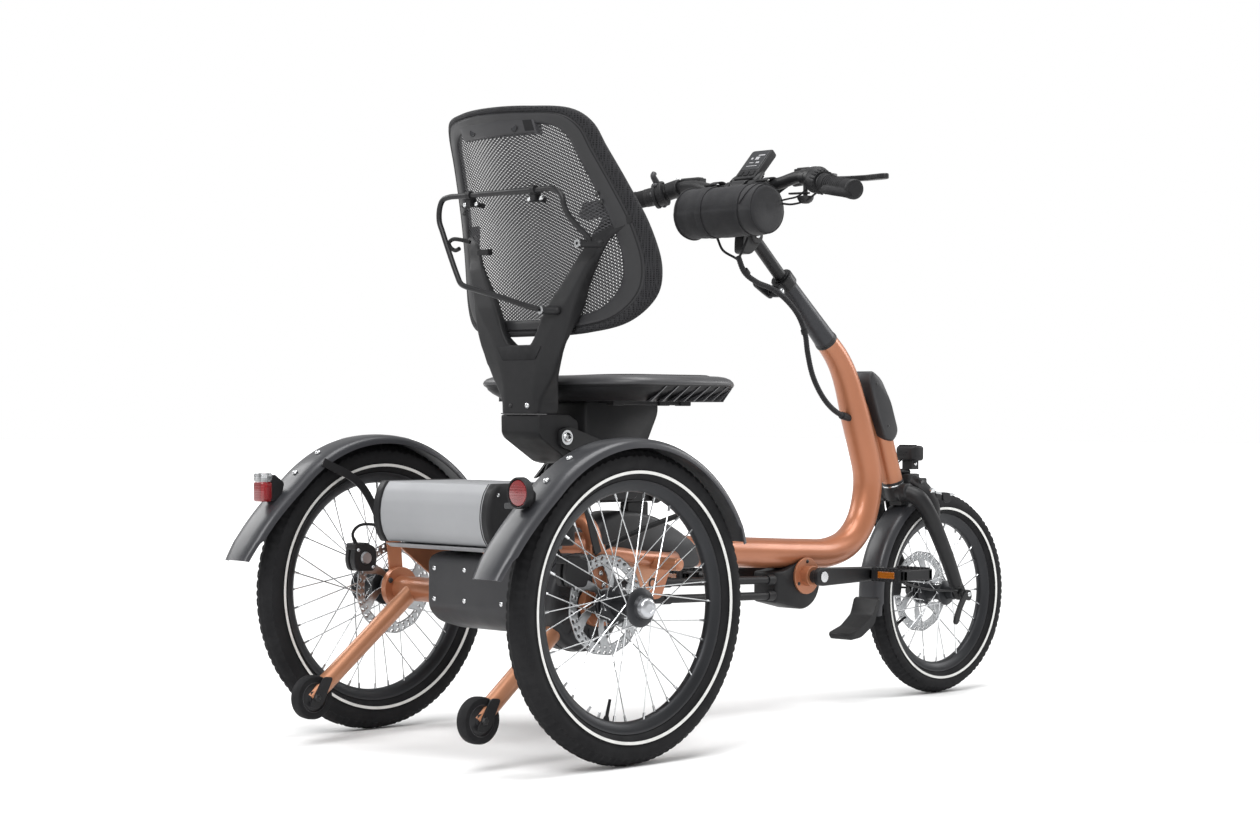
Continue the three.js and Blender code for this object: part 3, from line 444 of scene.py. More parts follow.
MATERIALS = {
    "copper": surface("copper_lacquer", (0.345, 0.125, 0.058), (0.395, 0.147, 0.070), 0.40, 0.45, 1500, 6e-6,
                      6.0, coat=0.3, worn=(0.50, 0.26, 0.15)),
    "black_paint": surface("black_powder_coat", (0.008, 0.008, 0.009), (0.013, 0.013, 0.014), 0.42, 0.05, 1400,
                           0.00002, worn=(0.03, 0.03, 0.031), gloss=0.3),
    "anthracite": surface("anthracite_lacquer", (0.026, 0.027, 0.030), (0.036, 0.037, 0.041), 0.38, 0.45, 1500,
                          0.000008, worn=(0.08, 0.08, 0.085), gloss=0.35),
    "black_plastic": surface("black_plastic", (0.008, 0.008, 0.009), (0.013, 0.013, 0.014), 0.52, 0.0, 1100,
                             0.0001, gloss=0.25),
    "grey_plastic": surface("grey_plastic", (0.015, 0.015, 0.016), (0.022, 0.022, 0.024), 0.46, 0.0, 1200,
                            0.00009, worn=(0.05, 0.05, 0.055), gloss=0.35),
    "mudguard": surface("mudguard_plastic", (0.022, 0.023, 0.026), (0.030, 0.031, 0.035), 0.36, 0.15, 1500,
                        0.000008, 5.0, coat=0.12, worn=(0.06, 0.06, 0.066), gloss=0.35),
    "tyre": surface("tyre_rubber", (0.007, 0.007, 0.008), (0.012, 0.012, 0.013), 0.75, 0.0, 700, 0.00015,
                    14.0, gloss=0.2),
    "rubber": surface("soft_rubber", (0.008, 0.008, 0.009), (0.013, 0.013, 0.014), 0.75, 0.0, 900, 0.00012,
                      20.0, gloss=0.2),
    "rim": surface("rim_anodised", (0.014, 0.015, 0.017), (0.022, 0.023, 0.026), 0.40, 0.5, 1400, 0.00004,
                   8.0, worn=(0.10, 0.10, 0.105), gloss=0.35),
    "silver": surface("silver_lacquer", (0.265, 0.270, 0.280), (0.300, 0.305, 0.315), 0.56, 0.2, 1500, 0.00001,
                      5.0, gloss=0.35),
    "alloy": surface("machined_alloy", (0.42, 0.43, 0.45), (0.52, 0.53, 0.55), 0.32, 1.0, 800, 0.00003, 30.0,
                     stretch=(1, 8, 1)),
    "steel": surface("bright_steel", (0.50, 0.51, 0.52), (0.62, 0.63, 0.64), 0.22, 1.0, 1200, 0.00001, 40.0),
    "disc": surface("ground_disc_steel", (0.33, 0.34, 0.35), (0.46, 0.47, 0.48), 0.34, 1.0, 700, 0.00003, 60.0,
                    stretch=(6, 1, 1)),
    "stripe": surface("reflective_stripe", (0.62, 0.62, 0.60), (0.76, 0.76, 0.74), 0.4, 0.1, 900, 0.00005,
                      50.0),
    "label": surface("light_grey_plastic", (0.26, 0.26, 0.27), (0.32, 0.32, 0.33), 0.5, 0.0, 900, 0.00006),
    "seat_rim": surface("seat_rim_plastic", (0.034, 0.034, 0.036), (0.046, 0.046, 0.049), 0.42, 0.0, 1200,
                        0.00004, gloss=0.45),
    # Slats: a light grey, much lighter than the seat plastic, that stands for light catching the fin edges under the
    # seat rim: painted highlight.
    "painted_highlight_slat": surface("slat_plastic_painted_highlight", (0.10, 0.10, 0.105), (0.13, 0.13, 0.136), 0.5, 0.0, 900, 0.00006),
    "roll": cloth("edge_binding_cloth", (0.003, 0.003, 0.004), (0.025, 0.025, 0.027), 0.0036, 0.0014),
    "bag": cloth("bag_cloth", (0.005, 0.005, 0.006), (0.016, 0.016, 0.018), 0.0011, 0.0003, 0.8),
    "bag_smooth": cloth("bag_end_cloth", (0.014, 0.014, 0.015), (0.022, 0.022, 0.024), 0.0007, 0.00015, 0.62),
    "sleeve": cloth("braided_sleeve", (0.005, 0.005, 0.006), (0.020, 0.020, 0.022), 0.0018, 0.0006, 0.7, 0.05,
                    0.6),
    "webbing": cloth("strap_webbing", (0.005, 0.005, 0.006), (0.020, 0.020, 0.022), 0.0016, 0.0005),
    "knit": knit("backrest_knit", (0.010, 0.010, 0.011), (0.055, 0.055, 0.058), 0.0049, 0.12),
    "seat_knit": cloth("seat_knit", (0.005, 0.005, 0.006), (0.022, 0.022, 0.024), 0.0030, 0.0009),
    "red": lens("red_lens", (0.42, 0.012, 0.018)),
    "amber": lens("amber_lens", (0.70, 0.20, 0.015)),
    "clear": lens("clear_lens", (0.75, 0.76, 0.78), 0.06, 0.8),
    "screen": surface("dark_screen", (0.008, 0.009, 0.011), (0.012, 0.013, 0.016), 0.14, 0.0, 1500, 0.00001,
                      coat=0.5),
}


def piece(name, finish, body, shapes, replaces=(), bevel=0.0, angle=38, subdivide=0, solidify=0.0):
    """Joins shapes into one object that moves with a body and takes a finish."""
    verts, faces = [], []
    for corners, polygons in shapes:
        start = len(verts)
        verts += [at(*v) for v in corners]
        faces += [tuple(start + k for k in face) for face in polygons]
    mesh = bpy.data.meshes.new(name)
    mesh.from_pydata(verts, [], faces)
    bm = bmesh.new()
    bm.from_mesh(mesh)
    bmesh.ops.recalc_face_normals(bm, faces=bm.faces)
    bm.to_mesh(mesh)
    bm.free()
    mesh.validate()
    obj = bpy.data.objects.new(name, mesh)
    bpy.context.scene.collection.objects.link(obj)
    mesh.materials.append(MATERIALS[finish])
    mesh.shade_smooth()
    mesh.set_sharp_from_angle(angle=math.radians(angle))
    if solidify:
        thick = obj.modifiers.new("thick", "SOLIDIFY")
        thick.thickness = solidify * MM
        thick.offset = 0
    if bevel:
        edge = obj.modifiers.new("edge", "BEVEL")
        edge.width = bevel * MM
        edge.segments = 3
        edge.limit_method = "ANGLE"
        edge.angle_limit = math.radians(angle)
        edge.harden_normals = True
    if subdivide:
        soft = obj.modifiers.new("soft", "SUBSURF")
        soft.levels = soft.render_levels = subdivide
    if body:
        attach(obj, body)
    if replaces:
        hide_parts(*replaces)
    return obj


# ---- camera, light and floor -----------------------------------------------------------
def aim(obj, direction, roll=0.0):
    turn = Vector(direction).to_track_quat("-Z", "Y").to_matrix().to_4x4()
    obj.matrix_world = Matrix.Translation(obj.location) @ turn @ Matrix.Rotation(roll, 4, "Z")


# The view of the picture: place, then yaw, pitch and roll in degrees.
CAMERA_PLACE = (-2692.8, -3066.1, 551.1)
CAMERA_TURN = (45.558, -0.117, 0.214)
FADE_START, FADE_END = 2.0, 6.5    # metres from the object over which the floor brightens into white


def build_stage():
    camera = bpy.data.objects.new("camera", bpy.data.cameras.new("camera"))
    bpy.context.scene.collection.objects.link(camera)
    camera.data.lens = 70.0
    camera.data.sensor_width = 36.0
    camera.location = at(*CAMERA_PLACE)
    yaw, pitch, roll = (math.radians(a) for a in CAMERA_TURN)
    aim(camera, (math.cos(yaw) * math.cos(pitch), math.sin(yaw) * math.cos(pitch), math.sin(pitch)), roll)
    bpy.context.scene.camera = camera

    floor = bpy.data.meshes.new("floor")
    reach = 40.0
    floor.from_pydata([(-reach, -reach, 0), (reach, -reach, 0), (reach, reach, 0), (-reach, reach, 0)], [],
                      [(0, 1, 2, 3)])
    ground = bpy.data.objects.new("floor", floor)
    ground.location.z = GROUND
    bpy.context.scene.collection.objects.link(ground)
    mat, tree, shader = new_material("studio_floor")
    link(tree, blend_colour(tree, noise_node(tree, 3.0), (0.84, 0.84, 0.84), (0.87, 0.87, 0.87)),
         shader.inputs["Base Color"])
    shader.inputs["Roughness"].default_value = 0.75
    shader.inputs["Specular IOR Level"].default_value = 0.2
    coord = tree.nodes.new("ShaderNodeTexCoord")
    away = tree.nodes.new("ShaderNodeVectorMath")
    away.operation = "LENGTH"
    link(tree, coord.outputs["Object"], away.inputs[0])
    link(tree, ramp(tree, away.outputs["Value"], FADE_START, FADE_END, 0.0, 1.0),
         shader.inputs["Emission Strength"])
    shader.inputs["Emission Color"].default_value = (1, 1, 1, 1)
    floor.materials.append(mat)

    world = bpy.data.worlds.new("studio")
    world.use_nodes = True
    backdrop = world.node_tree.nodes["Background"]
    backdrop.inputs[0].default_value = (1.0, 1.0, 1.0, 1)
    rays = world.node_tree.nodes.new("ShaderNodeLightPath")
    link(world.node_tree, ramp(world.node_tree, rays.outputs["Is Camera Ray"], 0.0, 1.0, 0.55, 1.0),
         backdrop.inputs[1])
    bpy.context.scene.world = world
    lamps = [("key", (-2600, -1300, 3300), 2200, 125), ("left", (-600, 3200, 2600), 2200, 60),
             ("top", (700, -300, 3600), 2600, 105), ("front", (3400, -1200, 1800), 1600, 38)]
    for name, place, size, power in lamps:
        light = bpy.data.lights.new(name, "AREA")
        light.shape = "DISK"
        light.size = size * MM
        light.energy = power
        lamp = bpy.data.objects.new(name, light)
        bpy.context.scene.collection.objects.link(lamp)
        lamp.location = at(*place)
        aim(lamp, at(350, 0, 450) - lamp.location)
    bpy.context.scene.view_settings.view_transform = "Standard"


build_stage()


# ---- wheels ----------------------------------------------------------------------------
REAR_BEAD = REAR_R - 50.5
FRONT_BEAD = FRONT_R - 42
TYRE_HALF = (rear_high.y - rear_low.y) / 2 / MM


def tyre_shape(radius, bead, centre, pitch):
    """Tyre with two circumferential grooves and staggered blocks."""
    depth = radius - bead
    wall = [(bead - 1, 9), (bead + 0.5, 12.5), (bead + 5, 15.5), (bead + 0.30 * depth, 21.4),
            (bead + 0.48 * depth, TYRE_HALF), (bead + 0.62 * depth, 23.0), (bead + 0.76 * depth, 20.8)]
    crown = []
    for k in range(13):
        y = 18.5 - 37 * k / 12
        crown.append((radius - 11.5 * (abs(y) / 18.5) ** 2.3, y))
    profile = wall + crown + [(r, -y) for r, y in reversed(wall)]
    count = int(2 * math.pi * radius / 4.4)
    blocks = int(2 * math.pi * radius / pitch)
    rings = []
    for k in range(count):
        a = 2 * math.pi * k / count
        ring = []
        for r, y in profile:
            lateral = (k * blocks / count + (0.5 if y > 0 else 0.0)) % 1.0
            on_crown = r > radius - 12.5
            cut = 0.0
            if on_crown and 2.2 < abs(y) < 7.2:
                cut = 1.7
            if on_crown and abs(y) >= 7.2 and lateral < 0.27:
                cut = 2.2
            if on_crown and abs(y) <= 2.2 and (lateral * 2) % 1.0 < 0.22:
                cut = 1.2
            ring.append(Vector((centre[0] + (r - cut) * math.cos(a), centre[1] + y,
                                centre[2] + (r - cut) * math.sin(a))))
        rings.append(ring)
    return loft(rings, closed=True)


def rim_profile(bead):
    half = [(bead - 0.2, 13.2), (bead - 1.2, 13.6), (bead - 5, 13.0), (bead - 12, 10.5), (bead - 17.5, 6.5),
            (bead - 19, 2.5)]
    inside = [(bead - 1, 11.6), (bead - 6, 10.5), (bead - 8, 0)]
    return half + [(r, -y) for r, y in reversed(half)] + [(r, -y) for r, y in inside[:2]] + \
        [(bead - 8, 0)] + [(r, y) for r, y in reversed(inside[:2])]


def spoke_shapes(count, centre, flange, flanges, rim, crossing):
    per_side = count // 2
    pitch = 2 * math.pi / per_side
    spokes, nipples = [], []
    for side, y in enumerate(flanges):
        for i in range(per_side):
            lean = 1 if i % 2 == 0 else -1
            hole = i * pitch + side * pitch / 2
            nipple = hole + lean * crossing * pitch

            def spot(radius, angle, across):
                return Vector((centre[0] + radius * math.cos(angle), centre[1] + across,
                               centre[2] + radius * math.sin(angle)))
            a = spot(flange, hole, y + lean * 1.9)
            b = spot(rim, nipple, y * 0.1 + lean * 1.2)
            spokes.append(rod(a, b, 1.05, 6))
            along = (b - a).normalized()
            nipples.append(rod(b - along * 11, b + along * 3, 1.9, 8, 2.3))
            spokes.append(dome(a + Vector((0, lean * 1.2, 0)), 2.4, 1.0, (0, lean, 0), 8, 2))
    return spokes, nipples


def disc_shape(centre, radius=80, bore=17):
    """Brake disc: a thin ring with wavy edge, arm windows and rows of small openings."""
    rings, turns = 26, 216
    verts, faces, index = [], [], {}
    for i in range(rings + 1):
        for k in range(turns):
            a = 2 * math.pi * k / turns
            r = bore + (radius - bore) * i / rings
            if i == rings:
                r += 0.8 * math.sin(12 * a)
            index[i, k] = len(verts)
            verts.append(Vector((centre[0] + r * math.cos(a), centre[1], centre[2] + r * math.sin(a))))
    for i in range(rings):
        r = bore + (radius - bore) * (i + 0.5) / rings
        for k in range(turns):
            a = 360 * (k + 0.5) / turns
            swirl = (a - (r - bore) * 0.55) % 60
            window = 27 < r < radius - 17 and 12 < swirl < 53
            slot = radius - 13.5 < r < radius - 3 and ((a * 1.0 + (r - radius) * 1.2) % 10) < 3.2 \
                and int(r / 4.6) % 2 == 0
            if not (window or slot):
                m = (k + 1) % turns
                faces.append((index[i, k], index[i, m], index[i + 1, m], index[i + 1, k]))
    return verts, faces


def build_rear_wheel(name, side):
    body = f"rear_wheel_{name}"
    y = side * HALF_TRACK
    hub = (0, y, REAR_R)
    piece(f"tyre_{name}", "tyre", body, [tyre_shape(REAR_R, REAR_BEAD, hub, 16.0)],
          [f"tyre_rear_{name}"], angle=50)
    stripe = [(209.8, 22.4), (214.2, 23.1), (214.4, 23.9), (209.6, 23.2)]
    piece(f"tyre_stripes_{name}", "stripe", body,
          [spin([(r, h * s) for r, h in stripe], hub, 160) for s in (1, -1)])
    piece(f"rim_{name}", "rim", body, [spin(rim_profile(REAR_BEAD), hub, 160)], [f"wheel_rear_{name}"])
    spokes, nipples = spoke_shapes(36, hub, 26, [26.5 * side, -26.5 * side], REAR_BEAD - 17, 3)
    piece(f"spokes_{name}", "steel", body, spokes)
    piece(f"nipples_{name}", "steel", body, nipples)
    shell = [(12.5, -47.5), (23, -47.5), (24, -46.5), (24, -43), (17, -40), (17, -33), (29.5, -31), (31, -29.5),
             (31, -27), (29.5, -25), (19, -20), (17.5, -10), (17.5, 10), (19, 20), (29.5, 25), (31, 27),
             (31, 29.5), (29.5, 31), (20, 33), (17, 37), (12.5, 37)]
    piece(f"hub_{name}", "rim", body, [spin([(r, side * h) for r, h in shell], hub, 64)])
    cap = [(0.01, 34), (16.4, 34), (16.4, 44), (14.6, 47.4), (11.5, 49.6), (7.5, 49.9), (6.5, 48.6),
           (0.01, 48.6)]
    piece(f"hub_cap_{name}", "alloy", body, [spin([(r, side * h) for r, h in cap], hub, 48)])
    plane = side * (HALF_TRACK - 49.5)
    piece(f"disc_{name}", "disc", body, [disc_shape((0, plane, REAR_R))], [f"brake_disc_rear_{name}"],
          solidify=1.9)
    piece(f"disc_bolts_{name}", "steel", body, [
        dome((21.5 * math.cos(a), plane - side * 1.2, REAR_R + 21.5 * math.sin(a)), 3.6, 2.2, (0, -side, 0),
             16, 3) for a in (math.pi * k / 3 for k in range(6))])
    angle = math.radians(255 if side < 0 else 80)
    foot = Vector((0 + (REAR_BEAD - 19) * math.cos(angle), y, REAR_R + (REAR_BEAD - 19) * math.sin(angle)))
    tip = Vector((0 + (REAR_BEAD - 52) * math.cos(angle), y, REAR_R + (REAR_BEAD - 52) * math.sin(angle)))
    piece(f"valve_{name}", "rubber", body, [rod(foot, tip, 3.0, 14, 2.4),
                                            rod(foot, foot.lerp(tip, 0.2), 5.5, 14, 3.4)])


def build_front_wheel():
    hub = (WHEELBASE, 0, FRONT_R)
    body = "front_wheel"
    piece("tyre_steered", "tyre", body, [tyre_shape(FRONT_R, FRONT_BEAD, hub, 15.0)], ["tyre_front"], angle=50)
    stripe = [(166.0, 21.8), (170.2, 22.5), (170.4, 23.3), (165.8, 22.7)]
    piece("tyre_stripes_steered", "stripe", body,
          [spin([(r, h * s) for r, h in stripe], hub, 144) for s in (1, -1)])
    piece("rim_steered", "rim", body, [spin(rim_profile(FRONT_BEAD), hub, 144)], ["wheel_front"])
    spokes, nipples = spoke_shapes(28, hub, 20, [24, -24], FRONT_BEAD - 17, 2)
    piece("spokes_steered", "steel", body, spokes)
    piece("nipples_steered", "steel", body, nipples)
    shell = [(7, -49), (11, -49), (12.5, -46), (12.5, -31), (23, -28), (24.4, -26.5), (24.4, -22.5), (16, -17),
             (14.5, 0), (16, 17), (24.4, 22.5), (24.4, 26.5), (15, 30), (24, 34), (24, 38.4), (12.5, 39),
             (11, 49), (7, 49)]
    piece("hub_steered", "rim", body, [spin(shell, hub, 64)])
    piece("disc_steered", "disc", body, [disc_shape((WHEELBASE, 40, FRONT_R))], ["brake_disc_front"],
          solidify=1.9)
    angle = math.radians(205)
    foot, tip = [Vector((WHEELBASE + r * math.cos(angle), 0, FRONT_R + r * math.sin(angle)))
                 for r in (FRONT_BEAD - 19, FRONT_BEAD - 52)]
    piece("valve_steered", "rubber", body, [
        rod(foot, tip, 3.0, 14, 2.4), rod(foot, foot.lerp(tip, 0.2), 5.5, 14, 3.4)])


for name, side in (("left", 1), ("right", -1)):
    build_rear_wheel(name, side)
build_front_wheel()


# ---- frame -----------------------------------------------------------------------------
CRANK = (746, 252)
NECK = [(90, 0, 328), (330, 0, 314), (620, 0, 299), (760, 0, 292), (840, 0, 291), (898, 0, 308),
        (938, 0, 346), (957, 0, 400), (957, 0, 445), (943, 0, 490), (919, 0, 556), (895, 0, 618),
        (880, 0, 645), (862, 0, 668), on_mast(-1)]


def neck_radius(t):
    return 28 - (0 if t < 0.86 else 7 * (t - 0.86) / 0.14)


def tube_end(centre, radius, axis):
    return dome(centre, radius, radius * 0.35, axis, 32, 5)


def build_main_frame():
    body = "frame"
    x, z = CRANK
    collars = [rod((x, s * 29, z), (x, s * 34, z), 34, 40) for s in (1, -1)]
    gusset = rounded([(955, 415), (1015, 424), (985, 530), (925, 610), (905, 600)], 14)
    lug = rounded([(x - 30, 250), (x + 18, 250), (x + 24, 300), (x - 36, 302)], 8)
    piece("frame_tube", "copper", body, [pipe(NECK, neck_radius, 120, 40)], ["main_frame"])
    piece("frame_joints", "copper", body, [
        rod(on_head(2), on_head(150), 20, 40), prism(gusset, -5, 5), prism(lug, -13, 13),
        rod((x, -50, z), (x, 50, z), 19, 40), *collars], bevel=1.0)
    bolts = []
    for s in (1, -1):
        for k in range(3):
            a = math.radians(90 + 120 * k)
            bolts.append(dome((x + 27 * math.cos(a), s * 34, z + 27 * math.sin(a)), 3.6, 2.6, (0, s, 0), 16, 3))
    piece("crank_shell_bolts", "black_paint", body, bolts)
    weld = [rod(on_head(h), on_head(h + 5), 21.2, 40) for h in (2, 145)]
    weld.append(rod(on_mast(-6), on_mast(-1), 22.4, 40))
    piece("head_collars", "black_paint", body, weld, bevel=0.8)


def build_steering_cover():
    outline = rounded([(944, 641), (972, 624), (1003, 578), (1026, 519), (1012, 500), (984, 506), (958, 560),
                       (936, 618)], 12)
    levels = ((-24.5, 0.90), (-23, 0.96), (-19, 1.0), (19, 1.0), (23, 0.96), (24.5, 0.90))
    piece("cover_over_steering", "grey_plastic", "frame", [swelled(outline, (976, 575), levels)],
          ["steering_cover"])
    screws = [dome((a, s * 24.4, b), 3.4, 1.6, (0, s, 0), 16, 3)
              for s in (1, -1) for a, b in ((957, 613), (992, 532))]
    piece("cover_screws", "black_paint", "frame", screws)


def build_rear_frame():
    body = "frame"
    beam = [rod((0, -256, REAR_R), (0, 256, REAR_R), 21, 40)]
    stubs, bolts, plates = [], [], []
    hoop = [(135, -97, 300), (135, -96, 345), (135, -78, 370), (135, -40, 377), (135, 40, 377), (135, 78, 370),
            (135, 96, 345), (135, 97, 300)]
    tubes = [pipe(hoop, 14, 60, 28), rod((285, -150, 297), (285, 150, 297), 11, 32)]
    for s in (1, -1):
        stubs.append(rod((0, s * 250, REAR_R), (0, s * 326, REAR_R), 12, 32))
        stubs.append(rod((0, s * 244, REAR_R), (0, s * 256, REAR_R), 36, 48))
        for k in range(3):
            a = math.radians(30 + 120 * k)
            bolts.append(dome((28 * math.cos(a), s * 244, REAR_R + 28 * math.sin(a)), 5.0, 4.0,
                              (0, -s, 0), 12, 2))
        tip = Vector((-222, s * 211, 76))
        top = Vector((-6, s * 207, 248))
        tubes.append(rod(top, tip, 15, 32))
        tubes.append(pipe([(0, s * 95, 258), (130, s * 95, 316), (260, s * 90, 307), (350, s * 68, 300),
                           (396, s * 25, 300)], 12, 48, 28))
        tubes.append(tube_end((285, s * 150, 297), 11, (0, s, 0)))
        plates.append(prism(rounded([(-118, 331), (40, 331), (14, 255), (-14, 255)], 5),
                            s * 104 - 2, s * 104 + 2))
        plates.append(prism(rounded([(-24, 346), (6, 346), (14, 255), (-14, 255)], 5),
                            s * 257 - 2, s * 257 + 2))
    plates.append(prism(rounded([(238, 296), (330, 296), (303, 236), (262, 232), (238, 252)], 8), -90, -85))
    piece("axle_beam", "copper", body, beam + stubs[1::2], ["rear_frame"], bevel=0.8)
    piece("stub_axles", "steel", body, stubs[0::2], bevel=0.8)
    piece("rear_tubes", "copper", body, tubes)
    piece("rear_plates", "copper", body, plates, bevel=0.8)
    piece("beam_bolts", "black_paint", body, bolts)
    forks = []
    for s in (1, -1):
        x, y, z = -218, s * 211, 80
        for e in (1, -1):
            cheek = rounded([(x - 16, z - 14), (x + 14, z + 34), (x + 34, z + 32), (x + 12, z - 12),
                             (x, z - 18)], 7)
            forks.append(prism(cheek, y + e * 14.0 - 1.6, y + e * 14.0 + 1.6))
        forks.append(rod((x, y - 17, z), (x, y + 17, z), 5, 20))
        forks.append(dome((x, y + 17, z), 7, 4, (0, 1, 0), 6, 2))
        forks.append(dome((x, y - 17, z), 7, 4, (0, -1, 0), 6, 2))
    piece("tip_wheel_forks", "black_paint", body, forks, bevel=0.5)
    piece("plate_hole", "black_paint", body, [
        spin([(6.5, -1), (9.5, -1), (9.5, 1), (6.5, 1)], (282, -90, 262), 32)])


def build_tip_wheels():
    for name, s in (("left", 1), ("right", -1)):
        x, y, z = -218, s * 211, 80
        tread = [(24, -9), (34.5, -10.5), (36.4, -8), (37, 0), (36.4, 8), (34.5, 10.5), (24, 9)]
        core = [(5.4, -10.8), (11, -10.8), (12, -8), (22, -6.5), (24.5, -9.6), (25.5, -9), (25.5, 9), (24.5, 9.6),
                (22, 6.5), (12, 8), (11, 10.8), (5.4, 10.8)]
        piece(f"tip_tread_{name}", "rubber", f"tip_roller_{name}", [spin(tread, (x, y, z), 64)],
              [f"tip_wheel_{name}"])
        piece(f"tip_core_{name}", "grey_plastic", f"tip_roller_{name}", [spin(core, (x, y, z), 48)])


build_main_frame()
build_steering_cover()
build_rear_frame()
build_tip_wheels()


# ---- mudguards, lights and brakes --------------------------------------------------------
def guard_shape(centre, radius, start, end, flare, flare_from, half, steps=90):
    """A curved mudguard: a crowned strip with turned-down skirts, flared towards its tail."""
    outer = [(-half, -15), (-half + 0.6, -9), (-half + 3.4, -4.4), (-half * 0.68, -1.0), (-half * 0.35, 0.2),
             (0, 0.6), (half * 0.35, 0.2), (half * 0.68, -1.0), (half - 3.4, -4.4), (half - 0.6, -9), (half, -15)]
    inner = [(y * 0.925, h - (2.0 if abs(y) < half * 0.8 else 0.4)) for y, h in reversed(outer)]
    rings = []
    for i in range(steps + 1):
        angle = start + (end - start) * i / steps
        late = max(0.0, (angle - flare_from) / (end - flare_from))
        r = radius + flare * late ** 1.6
        close = min(1.0, 0.86 + 0.14 * min(i, steps - i) / 5)
        a = math.radians(angle)
        ring = []
        for y, h in outer + inner:
            rr = r + h * (0.75 if close < 1 else 1.0)
            ring.append(Vector(centre) + Vector((rr * math.cos(a), y * close, rr * math.sin(a))))
        rings.append(ring)
    return loft(rings)


def build_mudguards():
    for name, s in (("left", 1), ("right", -1)):
        y = s * HALF_TRACK

        def spot(angle, radius, across):
            a = math.radians(angle)
            return Vector((radius * math.cos(a), across, REAR_R + radius * math.sin(a)))
        piece(f"guard_{name}", "mudguard", "frame",
              [guard_shape((0, y, REAR_R), 265, 21, 169.5, 42, 134, 35)], [f"mudguard_rear_{name}"])
        rear_bar = [spot(123, 262, s * 281), spot(110, 190, s * 276), Vector((-14, s * 263.6, 332))]
        path = smooth_path(rear_bar, 20)
        piece(f"guard_stay_{name}", "black_paint", "frame", [
            along_path(path, lambda i, t: [(-7, -1.6), (7, -1.6), (7, 1.6), (-7, 1.6)], up=(0, 1, 0)),
            pipe([spot(36, 262, s * 283), (150, s * 190, 360), (118, s * 118, 322)], 4.6, 30, 16)], bevel=0.6)
        domes = []
        for angle in (118.3, 131.0):
            domes.append(dome(spot(angle, 266.5 if angle < 134 else 268, y), 5.4, 3.8, spot(angle, 1, 0) -
                              Vector((0, 0, REAR_R)), 24, 5))
        domes.append(dome(spot(36, 266, y), 5.0, 3.4, spot(36, 1, 0) - Vector((0, 0, REAR_R)), 24, 5))
        for x, z in ((-16, 336), (-4, 300), (2, 280)):
            domes.append(dome((x, s * 259.4, z), 4.2, 3.0, (0, s, 0), 16, 4))
        piece(f"guard_bolts_{name}", "steel", "frame", domes)
    hub = (WHEELBASE, 0, FRONT_R)
    piece("guard_steered", "mudguard", "front_fork", [guard_shape(hub, 212, 107, 190, 0, 200, 29, 60)],
          ["mudguard_front"])
    flap = [(966, 198), (952, 150), (914, 126), (880, 122), (873, 134), (912, 146), (944, 168), (958, 200)]
    rings = []
    outline = rounded(flap, 7)
    for y, size in ((-30, 0.94), (-28, 1.0), (28, 1.0), (30, 0.94)):
        rings.append([Vector((920 + (a - 920) * size, y * (1.0 - 0.002 * (200 - b)), 150 + (b - 150) * size))
                      for a, b in outline])
    piece("mud_flap", "black_plastic", "front_fork", [loft(rings)])
    stays = []
    for s in (1, -1):
        a = math.radians(168)
        tip = Vector((WHEELBASE + 208 * math.cos(a), s * 29, FRONT_R + 208 * math.sin(a)))
        stays.append(pipe([tip, (1070, s * 52, 214), (1156, s * 66, 206)], 2.2, 30, 12))
        stays.append(dome(tip, 4.5, 3, (0, s, 0), 16, 3))
    piece("guard_stays_steered", "black_paint", "front_fork", stays)


def build_lights():
    x, y, z = -239, HALF_TRACK, 428

    def shell(low, high, wide, front, rear):
        rings = []
        for h, size in ((low, 0.86), (low + 2, 0.97), (low + 5, 1.0),
                        (high - 5, 1.0), (high - 2, 0.97), (high, 0.86)):
            outline = rounded([(front, -wide), (front, wide), (rear, wide * 0.86), (rear, -wide * 0.86)], 7)
            middle = (front + rear) / 2
            rings.append([Vector((x + middle + (a - middle) * size, y + b * size, h)) for a, b in outline])
        return loft(rings)
    piece("tail_lens", "red", "frame", [shell(z - 25, z + 8, 15.5, 8, -15)], ["tail_light"])
    piece("tail_lens_top", "clear", "frame", [shell(z + 8.2, z + 23, 15.5, 8, -15)])
    piece("tail_lamp_back", "black_plastic", "frame", [
        prism(rounded([(x + 8, 404), (x + 16, 404), (-212, 412), (-206, 434), (x + 14, 448), (x + 8, 448)], 4),
              y - 13, y + 13)], bevel=1.2)
    r = -HALF_TRACK
    piece("rear_reflector", "red", "frame", [
        spin([(0.01, -234.5), (12, -234.2), (19, -233), (20.5, -231), (20.5, -226), (0.01, -226)], (0, r, 433),
             64, "X")], ["reflector"])
    piece("reflector_cup", "black_plastic", "frame", [
        spin([(20.8, -233.5), (22.6, -234.5), (24, -233), (24, -222), (17, -217), (0.01, -217), (0.01, -225.8),
              (20.8, -225.8)], (0, r, 433), 64, "X"),
        prism(rounded([(-219, 412), (-208, 410), (-205, 432), (-219, 446)], 3), r - 11, r + 11)], bevel=0.8)


